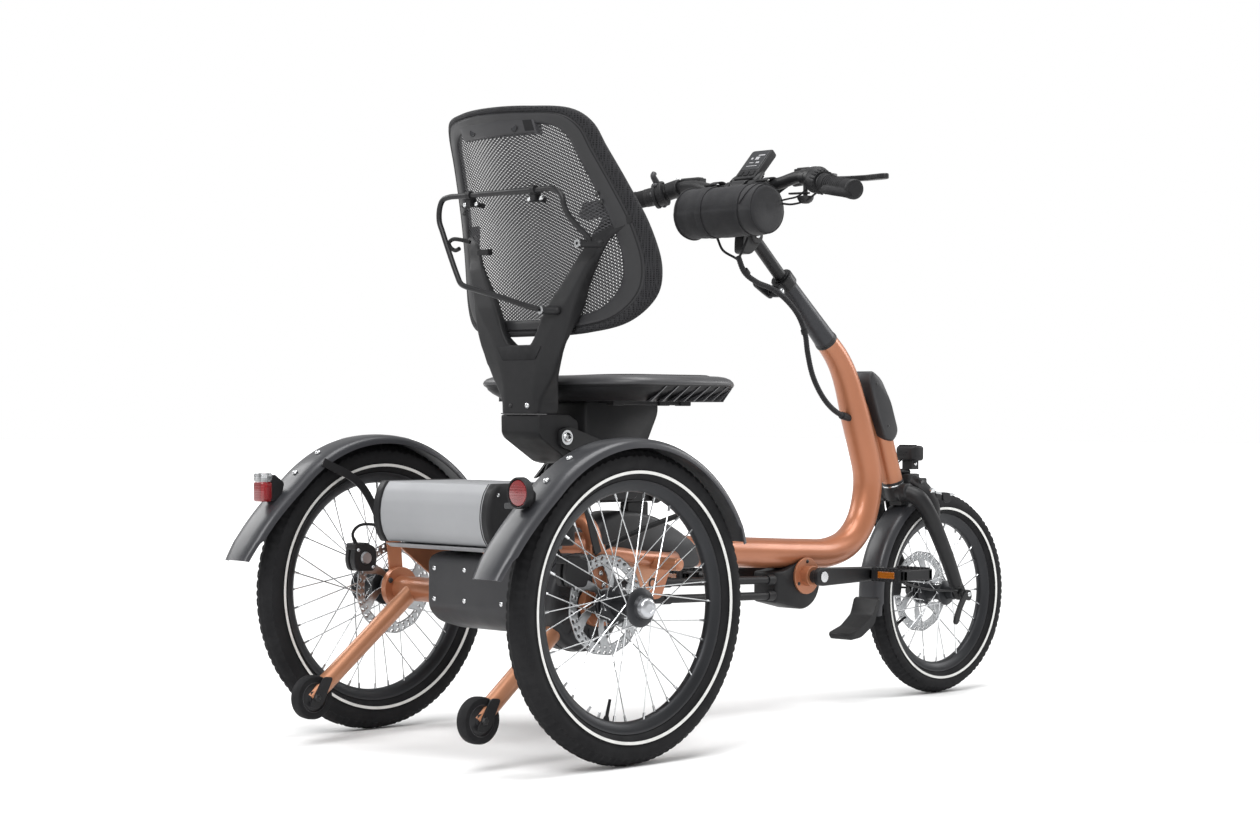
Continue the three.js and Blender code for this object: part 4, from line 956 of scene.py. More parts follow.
def build_calipers():
    for name, s in (("left", 1), ("right", -1)):
        plane = s * (HALF_TRACK - 49.5)
        halves = []
        outline = rounded([(-92, 282), (-52, 281), (-47, 300), (-50, 322), (-70, 330), (-94, 326), (-98, 300)], 8)
        for a, b in ((plane - s * 15, plane - s * 2.6), (plane + s * 2.6, plane + s * 11)):
            halves.append(prism(outline, a, b))
        bridge = rounded([(-96, 318), (-66, 321), (-64, 330), (-94, 330)], 3)
        halves.append(prism(bridge, plane - s * 14.5, plane + s * 10.8))
        piece(f"caliper_{name}", "black_paint", "frame", halves, [f"brake_caliper_rear_{name}"], bevel=1.6)
        details = [rod((-72, plane - s * 15, 304), (-72, plane - s * 19, 304), 11, 32, 9.5),
                   dome((-88, plane - s * 15, 318), 3.2, 2.4, (0, -s, 0), 12, 3),
                   dome((-56, plane - s * 15, 288), 3.2, 2.4, (0, -s, 0), 12, 3)]
        piece(f"caliper_trim_{name}", "alloy", "frame", details)
        piece(f"caliper_hose_{name}", "rubber", "frame", [
            pipe([(-86, s * 256, 322), (-98, s * 256, 346), (-92, s * 240, 362), (-40, s * 180, 350),
                  (20, s * 110, 322), (80, s * 60, 312), (150, s * 31, 306)], 2.6, 70, 12),
            rod((-86, s * 257, 320), (-95, s * 257, 338), 4.2, 16, 3.2)])
    x, z = WHEELBASE - 84, FRONT_R + 18
    outline = rounded([(x - 18, z - 22), (x + 14, z - 22), (x + 18, z + 6), (x + 6, z + 22),
                       (x - 16, z + 20)], 7)
    piece("caliper_steered", "black_paint", "front_fork", [
        prism(outline, 32, 38), prism(outline, 42, 53), prism(rounded([(x - 18, z - 6), (x - 10, z - 6),
              (x - 10, z + 18), (x - 16, z + 20)], 2), 34, 51)], ["brake_caliper_front"], bevel=1.4)
    piece("caliper_trim_steered", "alloy", "front_fork", [rod((x - 2, 53, z), (x - 2, 57, z), 10, 32, 8.6)])
    piece("front_brake_hose", "rubber", "front_fork", [
        pipe([(x - 6, 50, z + 20), (x - 2, 58, z + 50), (1060, 62, 330), (1034, 50, 382), (1016, 34, 420)], 2.4,
             60, 12)])


# ---- drive and battery -------------------------------------------------------------------
def build_drive():
    outline = rounded([(-118, 318), (-96, 326), (30, 326), (44, 300), (44, 240), (20, 205), (-40, 196),
                       (-96, 212), (-118, 232)], 16)
    levels = ((-172.5, 0.90), (-170, 0.965), (-165, 1.0), (27, 1.0), (32, 0.965), (34.5, 0.90))
    housing = swelled(outline, (-37, 262), levels)
    drum = [(0.01, -226), (66, -226), (73, -224.5), (77, -221), (78, -216), (78, -174), (74, -170), (0.01, -170)]
    ribs = []
    for k in range(16):
        a = math.radians(22.5 * k + 5)
        b = Vector((63 * math.cos(a), 0, 63 * math.sin(a)))
        t = Vector((-math.sin(a), 0, math.cos(a)))
        ribs.append(loft([[Vector((p.x, y, REAR_R + p.z)) for p in
                           (b + t * 2.2, b - t * 2.2, b * 0.66 - t * 2.2, b * 0.66 + t * 2.2)]
                          for y in (-227.6, -224)]))
    piece("drive_housing", "grey_plastic", "frame", [housing, spin(drum, (0, 0, REAR_R), 96)],
          ["drive_cover"])
    piece("drive_housing_ribs", "grey_plastic", "frame", ribs, bevel=0.4)
    seam = [(79.0, -199.4), (79.3, -198), (79.0, -196.6), (77.4, -196.6), (77.4, -199.4)]
    piece("drive_seam", "black_plastic", "frame", [spin(seam, (0, 0, REAR_R), 96)])
    screws = [dome((-37 + 66 * math.cos(a), 34.4, 262 + 48 * math.sin(a)), 4, 2, (0, 1, 0), 16, 3)
              for a in (0.6, 2.4, 3.9, 5.4)]
    screws += [dome((-37 + 66 * math.cos(a), -172.4, 262 + 50 * math.sin(a)), 4, 2, (0, -1, 0), 16, 3)
               for a in (2.2, 2.9)]
    screws += [dome((-118, y, z), 4.2, 2.2, (-1, 0, 0), 16, 3) for y in (-150, -60, 15) for z in (250, 300)]
    piece("drive_screws", "steel", "frame", screws)

    full = rounded([(200, 340), (214, 370), (255, 384), (300, 384), (350, 372), (400, 350), (446, 322), (462, 286),
                    (440, 278), (200, 292)], 14)
    rings = []
    for y, size in ((-37, 0.84), (-35, 0.94), (-30, 1.0), (30, 1.0), (35, 0.94), (37, 0.84)):
        rings.append([Vector((330 + (a - 330) * (0.5 + size / 2), y, 330 + (b - 330) * size)) for a, b in full])
    piece("seat_post_fairing", "grey_plastic", "frame", [loft(rings)], ["frame_fairing"])
    x, z = CRANK
    case = rounded([(x - 6 + 50 * math.cos(math.radians(a)), z - 12 + 50 * math.sin(math.radians(a)))
                    for a in range(-100, 75, 10)] + [(690, 264), (664, 262), (664, 206)], 5, 3)
    levels = ((-29, 0.88), (-27.5, 0.96), (-24, 1.0), (24, 1.0), (27.5, 0.96), (29, 0.88))
    piece("chain_case", "black_plastic", "frame", [swelled(case, (725, 236), levels)], ["chain_guard"])
    ends = ((248, 266), (219, 236))
    tubes = [rod((60, -44, rear), (664, -24, front), 7.5, 28) for front, rear in ends]
    for front, rear in ends:
        for k in (0.03, 0.5, 0.965):
            a = Vector((60, -44, rear)).lerp(Vector((664, -24, front)), k)
            b = Vector((60, -44, rear)).lerp(Vector((664, -24, front)), k + 0.03)
            tubes.append(rod(a, b, 9.4, 28))
    piece("chain_pipes", "black_plastic", "frame", tubes, ["chain_tubes"], bevel=0.5)
    piece("chain_pipe_clips", "black_plastic", "frame",
          [block((12, 15, 44), (240, -38, 247)), block((12, 15, 44), (520, -29, 238))], bevel=2.0)


def build_cranks():
    x, z = CRANK
    body = "crank"
    arms, trim = [rod((x, -68, z), (x, 68, z), 12, 32)], []
    for s in (1, -1):
        reach = -s * 170
        outline = []
        for k in range(13):
            a = math.radians(90 + 15 * k) if reach > 0 else math.radians(90 - 15 * k)
            outline.append((x + 17 * math.cos(a), z + 17 * math.sin(a)))
        for k in range(13):
            a = math.radians(-90 + 15 * k) if reach > 0 else math.radians(-90 - 15 * k)
            outline.append((x + reach + 12.5 * math.cos(a), z + 12.5 * math.sin(a)))
        arms.append(prism(outline, s * 61, s * 75))
        trim.append(rod((x, s * 75, z), (x, s * 77.4, z), 10, 32))
        trim.append(rod((x + reach, s * 60, z), (x + reach, s * 158, z), 5, 24))
    piece("crank_arms", "black_paint", body, arms, ["crankset"], bevel=3.0)
    piece("crank_trim", "steel", body, trim, bevel=0.6)
    for name, s in (("left", 1), ("right", -1)):
        px, py = x - s * 170, s * 119
        own = f"pedal_{name[0]}"
        cage, grip, lamp = [], [], []
        for e in (1, -1):
            cage.append(block((12, 84, 22), (px + e * 37, py, z)))
            cage.append(block((86, 10, 20), (px, py + e * 37, z)))
            for k in range(9):
                grip.append(block((12.5, 4, 26), (px + e * 37, py - 34 + 8.5 * k, z)))
            lamp.append(block((3.4, 40, 13), (px + e * 42.8, py, z)))
        cage.append(rod((px, py - 40, z), (px, py + 40, z), 10, 24))
        cage.append(block((66, 12, 16), (px, py, z)))
        piece(f"pedal_cage_{name}", "black_plastic", own, cage, [f"pedal_{name}"], bevel=2.2)
        piece(f"pedal_teeth_{name}", "rubber", own, grip, bevel=0.9)
        piece(f"pedal_reflectors_{name}", "amber", own, lamp, bevel=0.8)


def build_battery():
    back = [(-126, 340), (-136, 356), (-141, 374), (-142, 390), (-140, 408), (-134, 426), (-124, 440)]
    outline = rounded([(46, 440), (46, 338)] + back, 5, 4)
    levels = ((-129, 0.985), (-127.5, 1.0), (127.5, 1.0), (129, 0.985))
    piece("battery_shell", "silver", "frame", [swelled(outline, (-40, 389), levels)], ["battery_cover"])
    piece("battery_rail", "silver", "frame", [
        prism(rounded([(-134, 337.5), (-122, 330.6), (40, 330.6), (40, 337.5)], 2), -122, 122)], bevel=1.0)
    caps = []
    for s in (1, -1):
        levels = ((129.4, 1.0), (131, 1.018), (143, 1.018), (147, 0.985), (149, 0.93))
        caps.append(swelled(outline, (-44, 389), [(s * y, size) for y, size in levels]))
    piece("battery_caps", "black_plastic", "frame", caps, ["battery_case"])
    slots, bolts = [], []
    for s in (1, -1):
        for z in (372, 406):
            slots.append(prism(rounded([(-112, z - 5), (-28, z - 5), (-28, z + 5), (-112, z + 5)], 4.5),
                               s * 148.2, s * 149.4))
        for x, z in ((-124, 423), (-122, 356)):
            bolts.append(dome((x, s * 146.5, z), 5.2, 3.0, (0, s, 0), 20, 4))
    piece("battery_cap_slots", "screen", "frame", slots)
    piece("battery_bolts", "steel", "frame", bolts)
    seam = []
    for y in (-126, 126):
        seam.append(pipe([(a, y, b) for a, b in back], 0.7, 24, 8))
    piece("battery_seams", "black_plastic", "frame", seam)


build_mudguards()
build_lights()
build_calipers()
build_drive()
build_cranks()
build_battery()


# ---- seat --------------------------------------------------------------------------------
SEAT_HALF = [(112, 0), (112, 120), (122, 165), (150, 196), (200, 206), (290, 205), (370, 190), (412, 150),
             (428, 90), (432, 0)]
SEAT_MIDDLE = 272
SEAT_TURN = (112, 513)


def mirrored_outline(half):
    return half + [(a, -b) for a, b in reversed(half[1:-1])]


def even_outline(outline, steps):
    """The outline as evenly spaced points of a smooth closed curve."""
    path = smooth_path([(a, b, 0) for a, b in outline], steps, closed=True)
    return [(p.x, p.y) for p in path]


def seat_level(outline, size, z, droop=0.0):
    ring = []
    for a, b in outline:
        x, y = SEAT_MIDDLE + (a - SEAT_MIDDLE) * size, b * size
        fall = droop * max(0.0, (x - 350) / 80) ** 2
        ring.append(Vector((x, y, z - fall)))
    return ring


def build_seat():
    body = "seat"
    rim = even_outline(mirrored_outline(SEAT_HALF), 144)
    bowl = [(0.02, 578, 0), (0.74, 575, 0), (0.80, 574, 0), (0.84, 576, 1), (0.93, 587, 3), (0.97, 594, 4),
            (0.975, 597, 6)]
    lip = [(0.985, 599, 6), (1.0, 601, 6), (1.0, 604, 6), (0.99, 607.5, 6), (0.97, 611, 6), (0.94, 613.4, 5),
           (0.89, 615.0, 3), (0.862, 614.8, 2), (0.85, 612, 2), (0.845, 606, 2), (0.80, 601, 0), (0.02, 600, 0)]
    piece("seat_tray", "black_plastic", body, [loft([seat_level(rim, *level) for level in bowl + lip])],
          ["seat_shell"], angle=60)
    cover = [(0.985, 601, 6), (1.002, 602, 6), (1.008, 604.5, 6), (1.0, 609, 6), (0.978, 613.2, 6),
             (0.94, 616.2, 5), (0.89, 617.6, 3), (0.866, 617.0, 2), (0.862, 613, 2), (0.93, 611, 3), (0.98, 605, 5)]
    piece("seat_rim_cover", "seat_rim", body, [loft([seat_level(rim, *level) for level in cover], closed=True)],
          angle=60)
    # Slats under the seat rim, in the finish whose light grey is a painted highlight for their lit edges.
    ribs = []
    total = len(rim)
    for k in range(48):
        i = int(total * (k + 0.5) / 48)
        lean = 3 if rim[i][1] < 0 else -3
        if rim[i][0] < 190:
            continue
        upper, lower = Vector((*rim[i], 0)), Vector((*rim[(i + lean) % total], 0))
        middle = Vector((SEAT_MIDDLE, 0, 0))
        along = (Vector((*rim[(i + 1) % total], 0)) - Vector((*rim[i - 1], 0))).normalized() * 1.3
        fall = 6 * max(0.0, (upper.x - 350) / 80) ** 2
        section = []
        for spot, share, z in ((upper, 0.995, 600 - fall), (lower, 0.92, 574), (lower, 0.80, 574),
                               (upper, 0.90, 599 - fall)):
            section.append(middle + (spot - middle) * share + Vector((0, 0, z)))
        ribs.append(loft([[v - along for v in section], [v + along for v in section]]))
    piece("seat_ribs", "painted_highlight_slat", body, ribs)
    frame_bars = [block((170, 9, 12), (272, s * 92, 574)) for s in (1, -1)]
    frame_bars += [block((12, 190, 10), (x, 0, 576)) for x in (196, 348)]
    frame_bars += [block((26, 16, 16), (x, s * 92, 575)) for x in (190, 300, 352) for s in (1, -1)]
    piece("seat_under_frame", "black_plastic", body, frame_bars, bevel=1.6)

    outline = [(160, 577), (335, 577), (336, 556), (311, 508), (283, 404), (184, 402), (158, 486)]
    levels = ((-50, 0.965), (-48.5, 0.985), (-44, 1.0), (44, 1.0), (48.5, 0.985), (50, 0.965))
    box = swelled(rounded(outline, 10), (235, 490), levels)
    piece("seat_box", "black_plastic", body, [box], ["seat_carrier"])
    ears = []
    for s in (1, -1):
        ears.append(prism(rounded([(98, 526), (120, 531), (222, 500), (222, 462), (150, 482), (98, 498)], 8),
                          s * 48.6, s * 54.2))
        ears.append(prism(rounded([(196, 500), (214, 506), (150, 446), (134, 440)], 6), s * 50, s * 56))
    piece("seat_ears", "black_paint", body, ears, bevel=1.0)
    washers, heads = [], []
    x, z = SEAT_TURN
    for s in (1, -1):
        washers.append(rod((x, s * 54, z), (x, s * 56.4, z), 12.5, 40))
        washers.append(dome((x, s * 56.2, z), 8.6, 5.5, (0, s, 0), 32, 5))
        heads.append(rod((x, s * 61.2, z), (x, s * 62.2, z), 3.2, 6))
        heads.append(rod((x, s * 50, z), (x, s * 54.4, z), 15, 40))
    piece("recline_bolts", "steel", body, washers)
    piece("recline_bolt_bushes", "black_plastic", body, heads)

    rail = prism(rounded([(105, 400), (105, 423), (367, 423), (367, 400)], 4), -22, 22)
    foot = prism(rounded([(300, 399), (350, 399), (350, 338), (300, 338)], 4), -10, 10)
    piece("seat_slide_rail", "black_paint", "frame", [rail, foot], ["seat_rail"], bevel=1.2)
    knob = spin([(0.01, -30), (13, -30), (14.5, -27), (14.5, -24), (12, -22), (5, -22), (5, -18), (0.01, -18)],
                (354, 0, 411), 32)
    piece("seat_rail_knob", "black_plastic", "frame", [knob])


def pad_height(x, y, reach):
    """Top of the pad: crowned near its edge, dished in the middle, with sewn channels."""
    edge = min(1.0, max(0.0, 1 - reach) / 0.10)
    rise = math.sin(edge * math.pi / 2)
    dish = 5.0 * math.exp(-(((x - 235) / 95) ** 2 + (y / 110) ** 2))
    channel = abs(math.sin(math.pi * (x - 150) / 11.0)) ** 0.35
    inside = min(1.0, max(0.0, (0.86 - reach) / 0.06))
    return 612 + 8.5 * rise - dish - 1.7 * (1 - channel) * inside


PAD_SHARE = 0.855    # size of the pad as a share of the seat's outline


def build_seat_pad():
    rim = even_outline(mirrored_outline(SEAT_HALF), 200)
    rings = []
    shares = [0.02 + 0.98 * (k / 46) for k in range(47)]
    for share in shares:
        ring = []
        for a, b in rim:
            x, y = SEAT_MIDDLE + (a - SEAT_MIDDLE) * PAD_SHARE * share, b * PAD_SHARE * share
            fall = 6 * max(0.0, (x - 350) / 80) ** 2
            ring.append(Vector((x, y, pad_height(x, y, share) - fall * 0.6)))
        rings.append(ring)
    for size, z in ((1.004, 610.4), (1.0, 607.5), (0.98, 605.4), (0.5, 604.4), (0.02, 604.4)):
        share = PAD_SHARE * size
        rings.append([Vector((SEAT_MIDDLE + (a - SEAT_MIDDLE) * share, b * share, z)) for a, b in rim])
    pad = piece("pad_cushion", "seat_knit", "seat", [loft(rings)], ["seat_pad"], angle=75)
    welt = []
    for a, b in rim:
        x, y = SEAT_MIDDLE + (a - SEAT_MIDDLE) * 0.853, b * 0.853
        fall = 6 * max(0.0, (x - 350) / 80) ** 2
        welt.append((x, y, 615.2 - fall * 0.6))
    piece("pad_welt", "roll", "seat", [pipe(welt, 2.4, 200, 10, closed=True)])


# ---- backrest ------------------------------------------------------------------------------
BACK_HALF = [(0, 684), (120, 688), (190, 706), (228, 745), (237, 790), (226, 860), (204, 930), (184, 990),
             (172, 1028), (150, 1048), (80, 1056), (0, 1058)]
BACK_MIDDLE = 868


def back_x(y, z):
    t = max(0.0, (z - 690) / 360)
    return 68 - 90 * t ** 1.5 + (1.1 + 0.8 * t ** 0.6) * y * y / 1000


def back_outline(steps):
    return even_outline(BACK_HALF + [(-y, z) for y, z in reversed(BACK_HALF[1:-1])], steps)


def back_ring(outline, share, off):
    """Points on the backrest at a share of the way from its edge to its opening."""
    ring = []
    for y, z in outline:
        a = y * (1 - 0.2 * share)
        b = BACK_MIDDLE + (z - BACK_MIDDLE) * (1 - 0.14 * share)
        ring.append(Vector((back_x(a, b) + off, a, b)))
    return ring


def build_backrest():
    body = "backrest"
    outline = back_outline(220)
    section = [(0.30, 15), (0.30, 3.5), (0.36, 0.6), (0.46, -0.9), (0.60, -0.6), (0.80, 0.4), (0.93, 1.8),
               (1.0, 4.4), (1.03, 8.5), (1.01, 13.0), (0.9, 16.5), (0.6, 18.0)]
    piece("back_band", "grey_plastic", body, [loft([back_ring(outline, *p) for p in section], closed=True)],
          ["backrest_frame"], angle=65)
    roll = []
    for k in range(18):
        a = 2 * math.pi * k / 18
        roll.append((0.175 + 0.235 * math.cos(a), 10.5 + 10.8 * math.sin(a)))
    piece("back_roll", "roll", body, [loft([back_ring(outline, *p) for p in roll], closed=True)], angle=80)
    bead = []
    for k in range(8):
        a = 2 * math.pi * k / 8
        bead.append((0.385 + 0.022 * math.cos(a), 0.4 + 1.1 * math.sin(a)))
    piece("back_seam", "black_plastic", body, [loft([back_ring(outline, *p) for p in bead], closed=True)])

    def opening(z):
        want = BACK_MIDDLE + (z - BACK_MIDDLE) / 0.86
        best = 0.0
        for (y0, z0), (y1, z1) in zip(outline, outline[1:]):
            if min(z0, z1) <= want <= max(z0, z1) and y0 > 0:
                t = (want - z0) / (z1 - z0) if abs(z1 - z0) > 1e-6 else 0
                best = max(best, y0 + (y1 - y0) * t)
        return best * 0.8
    low = BACK_MIDDLE + (684 - BACK_MIDDLE) * 0.855
    high = BACK_MIDDLE + (1058 - BACK_MIDDLE) * 0.855
    verts, faces = [], []
    rows, columns = 60, 60
    for depth in (6.5, 12.0):
        start = len(verts)
        for i in range(rows + 1):
            z = low + (high - low) * i / rows
            half = opening(min(max(z, low + 0.8), high - 0.8)) * 1.03
            for k in range(columns + 1):
                u = -1 + 2 * k / columns
                v = -1 + 2 * i / rows
                belly = 5.0 * (1 - u * u) * (1 - v * v)
                y = u * half
                verts.append(Vector((back_x(y, z) + depth + belly, y, z)))
        for i in range(rows):
            for k in range(columns):
                a = start + i * (columns + 1) + k
                faces.append((a, a + 1, a + columns + 2, a + columns + 1))
    piece("back_knit", "knit", body, [(verts, faces)], ["backrest_mesh"], angle=180)

    header = []
    for z, depth in ((1012, 3.5), (1015, 0.5), (1034, 0.0), (1040, 3.0)):
        header.append([Vector((back_x(y, z) + depth, y, z + 0.004 * abs(y))) for y in
                       [-92 + 184 * k / 24 for k in range(25)]] +
                      [Vector((back_x(y, z) + 14, y, z + 0.004 * abs(y))) for y in
                       [92 - 184 * k / 24 for k in range(25)]])
    piece("back_header", "grey_plastic", body, [loft(header)])
    holes = [spin([(0.01, 0.6), (6.0, 0.6), (6.0, -1.2), (0.01, -1.2)], (back_x(y, 1022) + 0.4, y, 1023), 28, "X")
             for y in (-52, 52)]
    rims = [spin([(5.4, -1.6), (6.8, -1.6), (7.2, 0), (5.0, 0)], (back_x(y, 1022) + 0.6, y, 1023), 28, "X")
            for y in (-52, 52)]
    piece("back_header_holes", "screen", body, holes)
    piece("back_header_hole_rims", "black_plastic", body, rims, angle=80)
    slot = []
    for z in (1017, 1034):
        slot.append([Vector((back_x(y, z) + e, y, z))
                     for y, e in ((-88, -0.4), (-72, -0.4), (-72, 4), (-88, 4))])
    piece("back_header_slot", "rubber", body, [loft(slot)])
    piece("back_clip", "black_plastic", body, [block((12, 28, 10), (back_x(97, 828) - 1, 97, 828))], bevel=1.5)
    dots = [dome((back_x(y, z) - 0.4, y, z), 4.0, 3.0, (-1, 0, 0), 16, 3)
            for y, z in ((-168, 912), (-172, 899), (168, 912), (172, 899))]
    piece("back_bolts", "black_paint", body, dots)


# ---- yoke ------------------------------------------------------------------------------------
# Rows from bottom to top: height, half width of the flat rear, rear X, then X and half width of the
# outer edge at its rear, X of its front, X of the middle's front.
YOKE_LOWER = [(552, 38, 52, 55, 45, 101, 106), (573, 37, 52, 56, 48, 101, 106), (594, 37, 52, 58, 61, 88, 104),
              (614, 42, 52, 59, 76, 74, 98), (640, 50, 52, 58, 90, 68, 92), (655, 56, 52, 57, 97, 66, 88),
              (668, 62, 52, 57, 104, 65, 84)]
# Rows of one arm: height, inner half width, flat half width, outer half width, rear X.
YOKE_ARM = [(636, 8, 49, 88, 52), (655, 14, 56, 97, 52), (668, 26, 62, 104, 52), (680, 36, 68, 109, 52),
            (692, 43, 76, 113, 52), (712, 52, 94, 119, 53), (732, 64, 108, 125, 55), (750, 77, 122, 131, 59),
            (765, 89, 131, 136, 62), (785, 103, 142, 146, 66), (805, 116, 152, 156, 71), (824, 128, 162, 166, 76),
            (838, 137, 170, 174, 80), (848, 142, 180, 186, 84), (857, 146, 194, 201, 88), (866, 150, 204, 212, 92),
            (878, 156, 206, 214, 96)]


def between(table, z):
    """The row of a table at a height, by straight lines between its rows."""
    for one, two in zip(table, table[1:]):
        if one[0] <= z <= two[0]:
            t = (z - one[0]) / (two[0] - one[0])
            return [a + (b - a) * t for a, b in zip(one, two)]
    return list(table[-1] if z > table[-1][0] else table[0])


def build_yoke():
    body = "backrest"
    rings = []
    for k in range(30):
        z, flat, rear, edge, half, front, middle = between(YOKE_LOWER, 552 + 116 * k / 29)
        outline = [(rear, -flat), (edge, -half), (front, -half), (middle, -flat * 0.9), (middle, flat * 0.9),
                   (front, half), (edge, half), (rear, flat)]
        rings.append([Vector((a, b, z)) for a, b in rounded(outline, 5, 3)])
    solids = [loft(rings)]
    for s in (1, -1):
        rings = []
        for k in range(61):
            z, inner, flat, outer, rear = between(YOKE_ARM, 636 + 242 * k / 60)
            share = min(1.0, max(0.0, (z - 668) / 60))
            low = between(YOKE_LOWER, z)
            far = back_x(outer, z) + 5
            near = back_x(inner, z) + 5
            front = low[5] + (far - low[5]) * share
            middle = low[6] + (min(near, rear + 15) - low[6]) * min(1.0, max(0.0, (z - 655) / 32))
            sunk = min(1.0, max(0.0, (z - 800) / 40))
            rear_in = rear + (max(rear, back_x(inner, z) - 1) - rear) * sunk
            rear_flat = rear + (back_x(flat, z) - 1.2 - rear) * sunk
            rear_out = min(rear + 5, front - 6)
            rear_out += (back_x(outer, z) - 1.0 - rear_out) * sunk
            outline = [(rear_in, s * inner), (rear_flat, s * flat), (rear_out, s * outer),
                       (max(front, rear_out + 6), s * outer), (max(middle, rear_in + 6), s * inner)]
            rings.append([Vector((a, b, z)) for a, b in rounded(outline, 4, 3)])
        solids.append(loft(rings))
    moulded("back_yoke", "black_plastic", body, solids, ["backrest_yoke"], 2.2, 5)
    strip = []
    for z, half, x in ((642, 40, 51.6), (644, 43, 51.0), (664, 56, 51.0), (667, 56, 53)):
        strip.append([Vector((x, -half, z)), Vector((x, half, z)), Vector((x + 8, half, z)),
                      Vector((x + 8, -half, z))])
    piece("yoke_grip_strip", "rubber", body, [loft(strip)], bevel=1.2)
    line = [block((46, 1.0, 1.6), (76, s * 45.0, 552.8)) for s in (1, -1)]
    line.append(block((1.4, 86, 1.6), (52.2, 0, 552.8)))
    piece("yoke_split_line", "rubber", body, line)

    bracket = rounded([(54, 551.8), (55, 520), (62, 511), (128, 471), (146, 467), (150, 486), (145, 540),
                       (124, 551.8)], 5)
    levels = ((-47.6, 0.965), (-46.5, 0.985), (-43, 1.0), (43, 1.0), (46.5, 0.985), (47.6, 0.965))
    foot = swelled(bracket, (100, 515), levels)
    piece("yoke_foot", "black_plastic", body, [foot], ["backrest_bracket"])
    piece("yoke_bolt", "steel", body, [dome((51.6, -22, 566), 5.2, 3.2, (-1, 0, 0), 24, 4)])
    piece("yoke_plug", "black_paint", body, [dome((51.6, 20, 566), 3.6, 1.6, (-1, 0, 0), 16, 3)])


def moulded(name, finish, body, solids, replaces, voxel, rounds=6):
    """Joins solids into one skin with soft edges, as a moulding has."""
    obj = piece(name, finish, body, solids, replaces, angle=60)
    skin = obj.modifiers.new("skin", "REMESH")
    skin.mode = "VOXEL"
    skin.voxel_size = voxel * MM
    skin.use_smooth_shade = True
    soft = obj.modifiers.new("soft", "SMOOTH")
    soft.factor = 0.5
    soft.iterations = rounds
    return obj


def build_stick_holder():
    body = "backrest"
    line = [(36, -66, 726), (32, -40, 732), (24, 0, 744), (14, 70, 762), (11, 88, 767), (11, 102, 773),
            (11, 112, 788), (11, 150, 862), (11, 159, 882), (11, 158, 904), (11, 150, 917), (11, 134, 921),
            (11, 100, 921), (11, -90, 920), (11, -122, 920), (11, -138, 916), (12, -149, 905), (13, -152, 891),
            (20, -154, 877), (36, -165, 854), (46, -172, 842), (54, -172, 833)]
    piece("holder_rod", "black_paint", body, [pipe(line, 4.7, 260, 18)], ["stick_holder"])
    clips, screws = [], []
    for y in (80, -82):
        clips.append(rod((11, y - 5, 921), (11, y + 5, 921), 7.2, 28))
        clips.append(block((14, 11, 18), (17, y + 3, 912)))
        clips.append(block((5, 30, 11), (21, y + 6, 907)))
        for e in (20, -9):
            screws.append(dome((18.5, y + e, 907), 4.6, 3.8, (-1, 0, 0), 24, 5))
    for a, b in (((44, -70, 724), (52, -96, 723)), ((52, -150, 831), (60, -188, 829))):
        clips.append(rod(a, b, 6.8, 28))
        clips.append(dome(b, 6.8, 6.0, Vector(b) - Vector(a), 28, 5))
        hub = Vector(a) + Vector((-4, 0, 0))
        screws.append(spin([(2.6, -4), (6.8, -4), (7.2, -1), (5.6, 2.2), (2.6, 2.6)], hub, 32, "X"))
    for y, z in ((80, 907), (-76, 907)):
        clips.append(rod((20, y, z), (back_x(abs(y), z) + 6, y, z - 2), 4.4, 20))
    hook = [(80, 158, 849), (73, 176, 854), (70, 194, 855), (68, 201, 849), (70, 198, 841), (72, 188, 836),
            (73, 178, 839)]
    clips.append(pipe(hook, 3.6, 40, 14))
    piece("holder_clips", "black_plastic", body, clips, bevel=1.0)
    piece("holder_screws", "steel", body, screws)


build_seat()
build_seat_pad()
build_backrest()
build_yoke()
build_stick_holder()


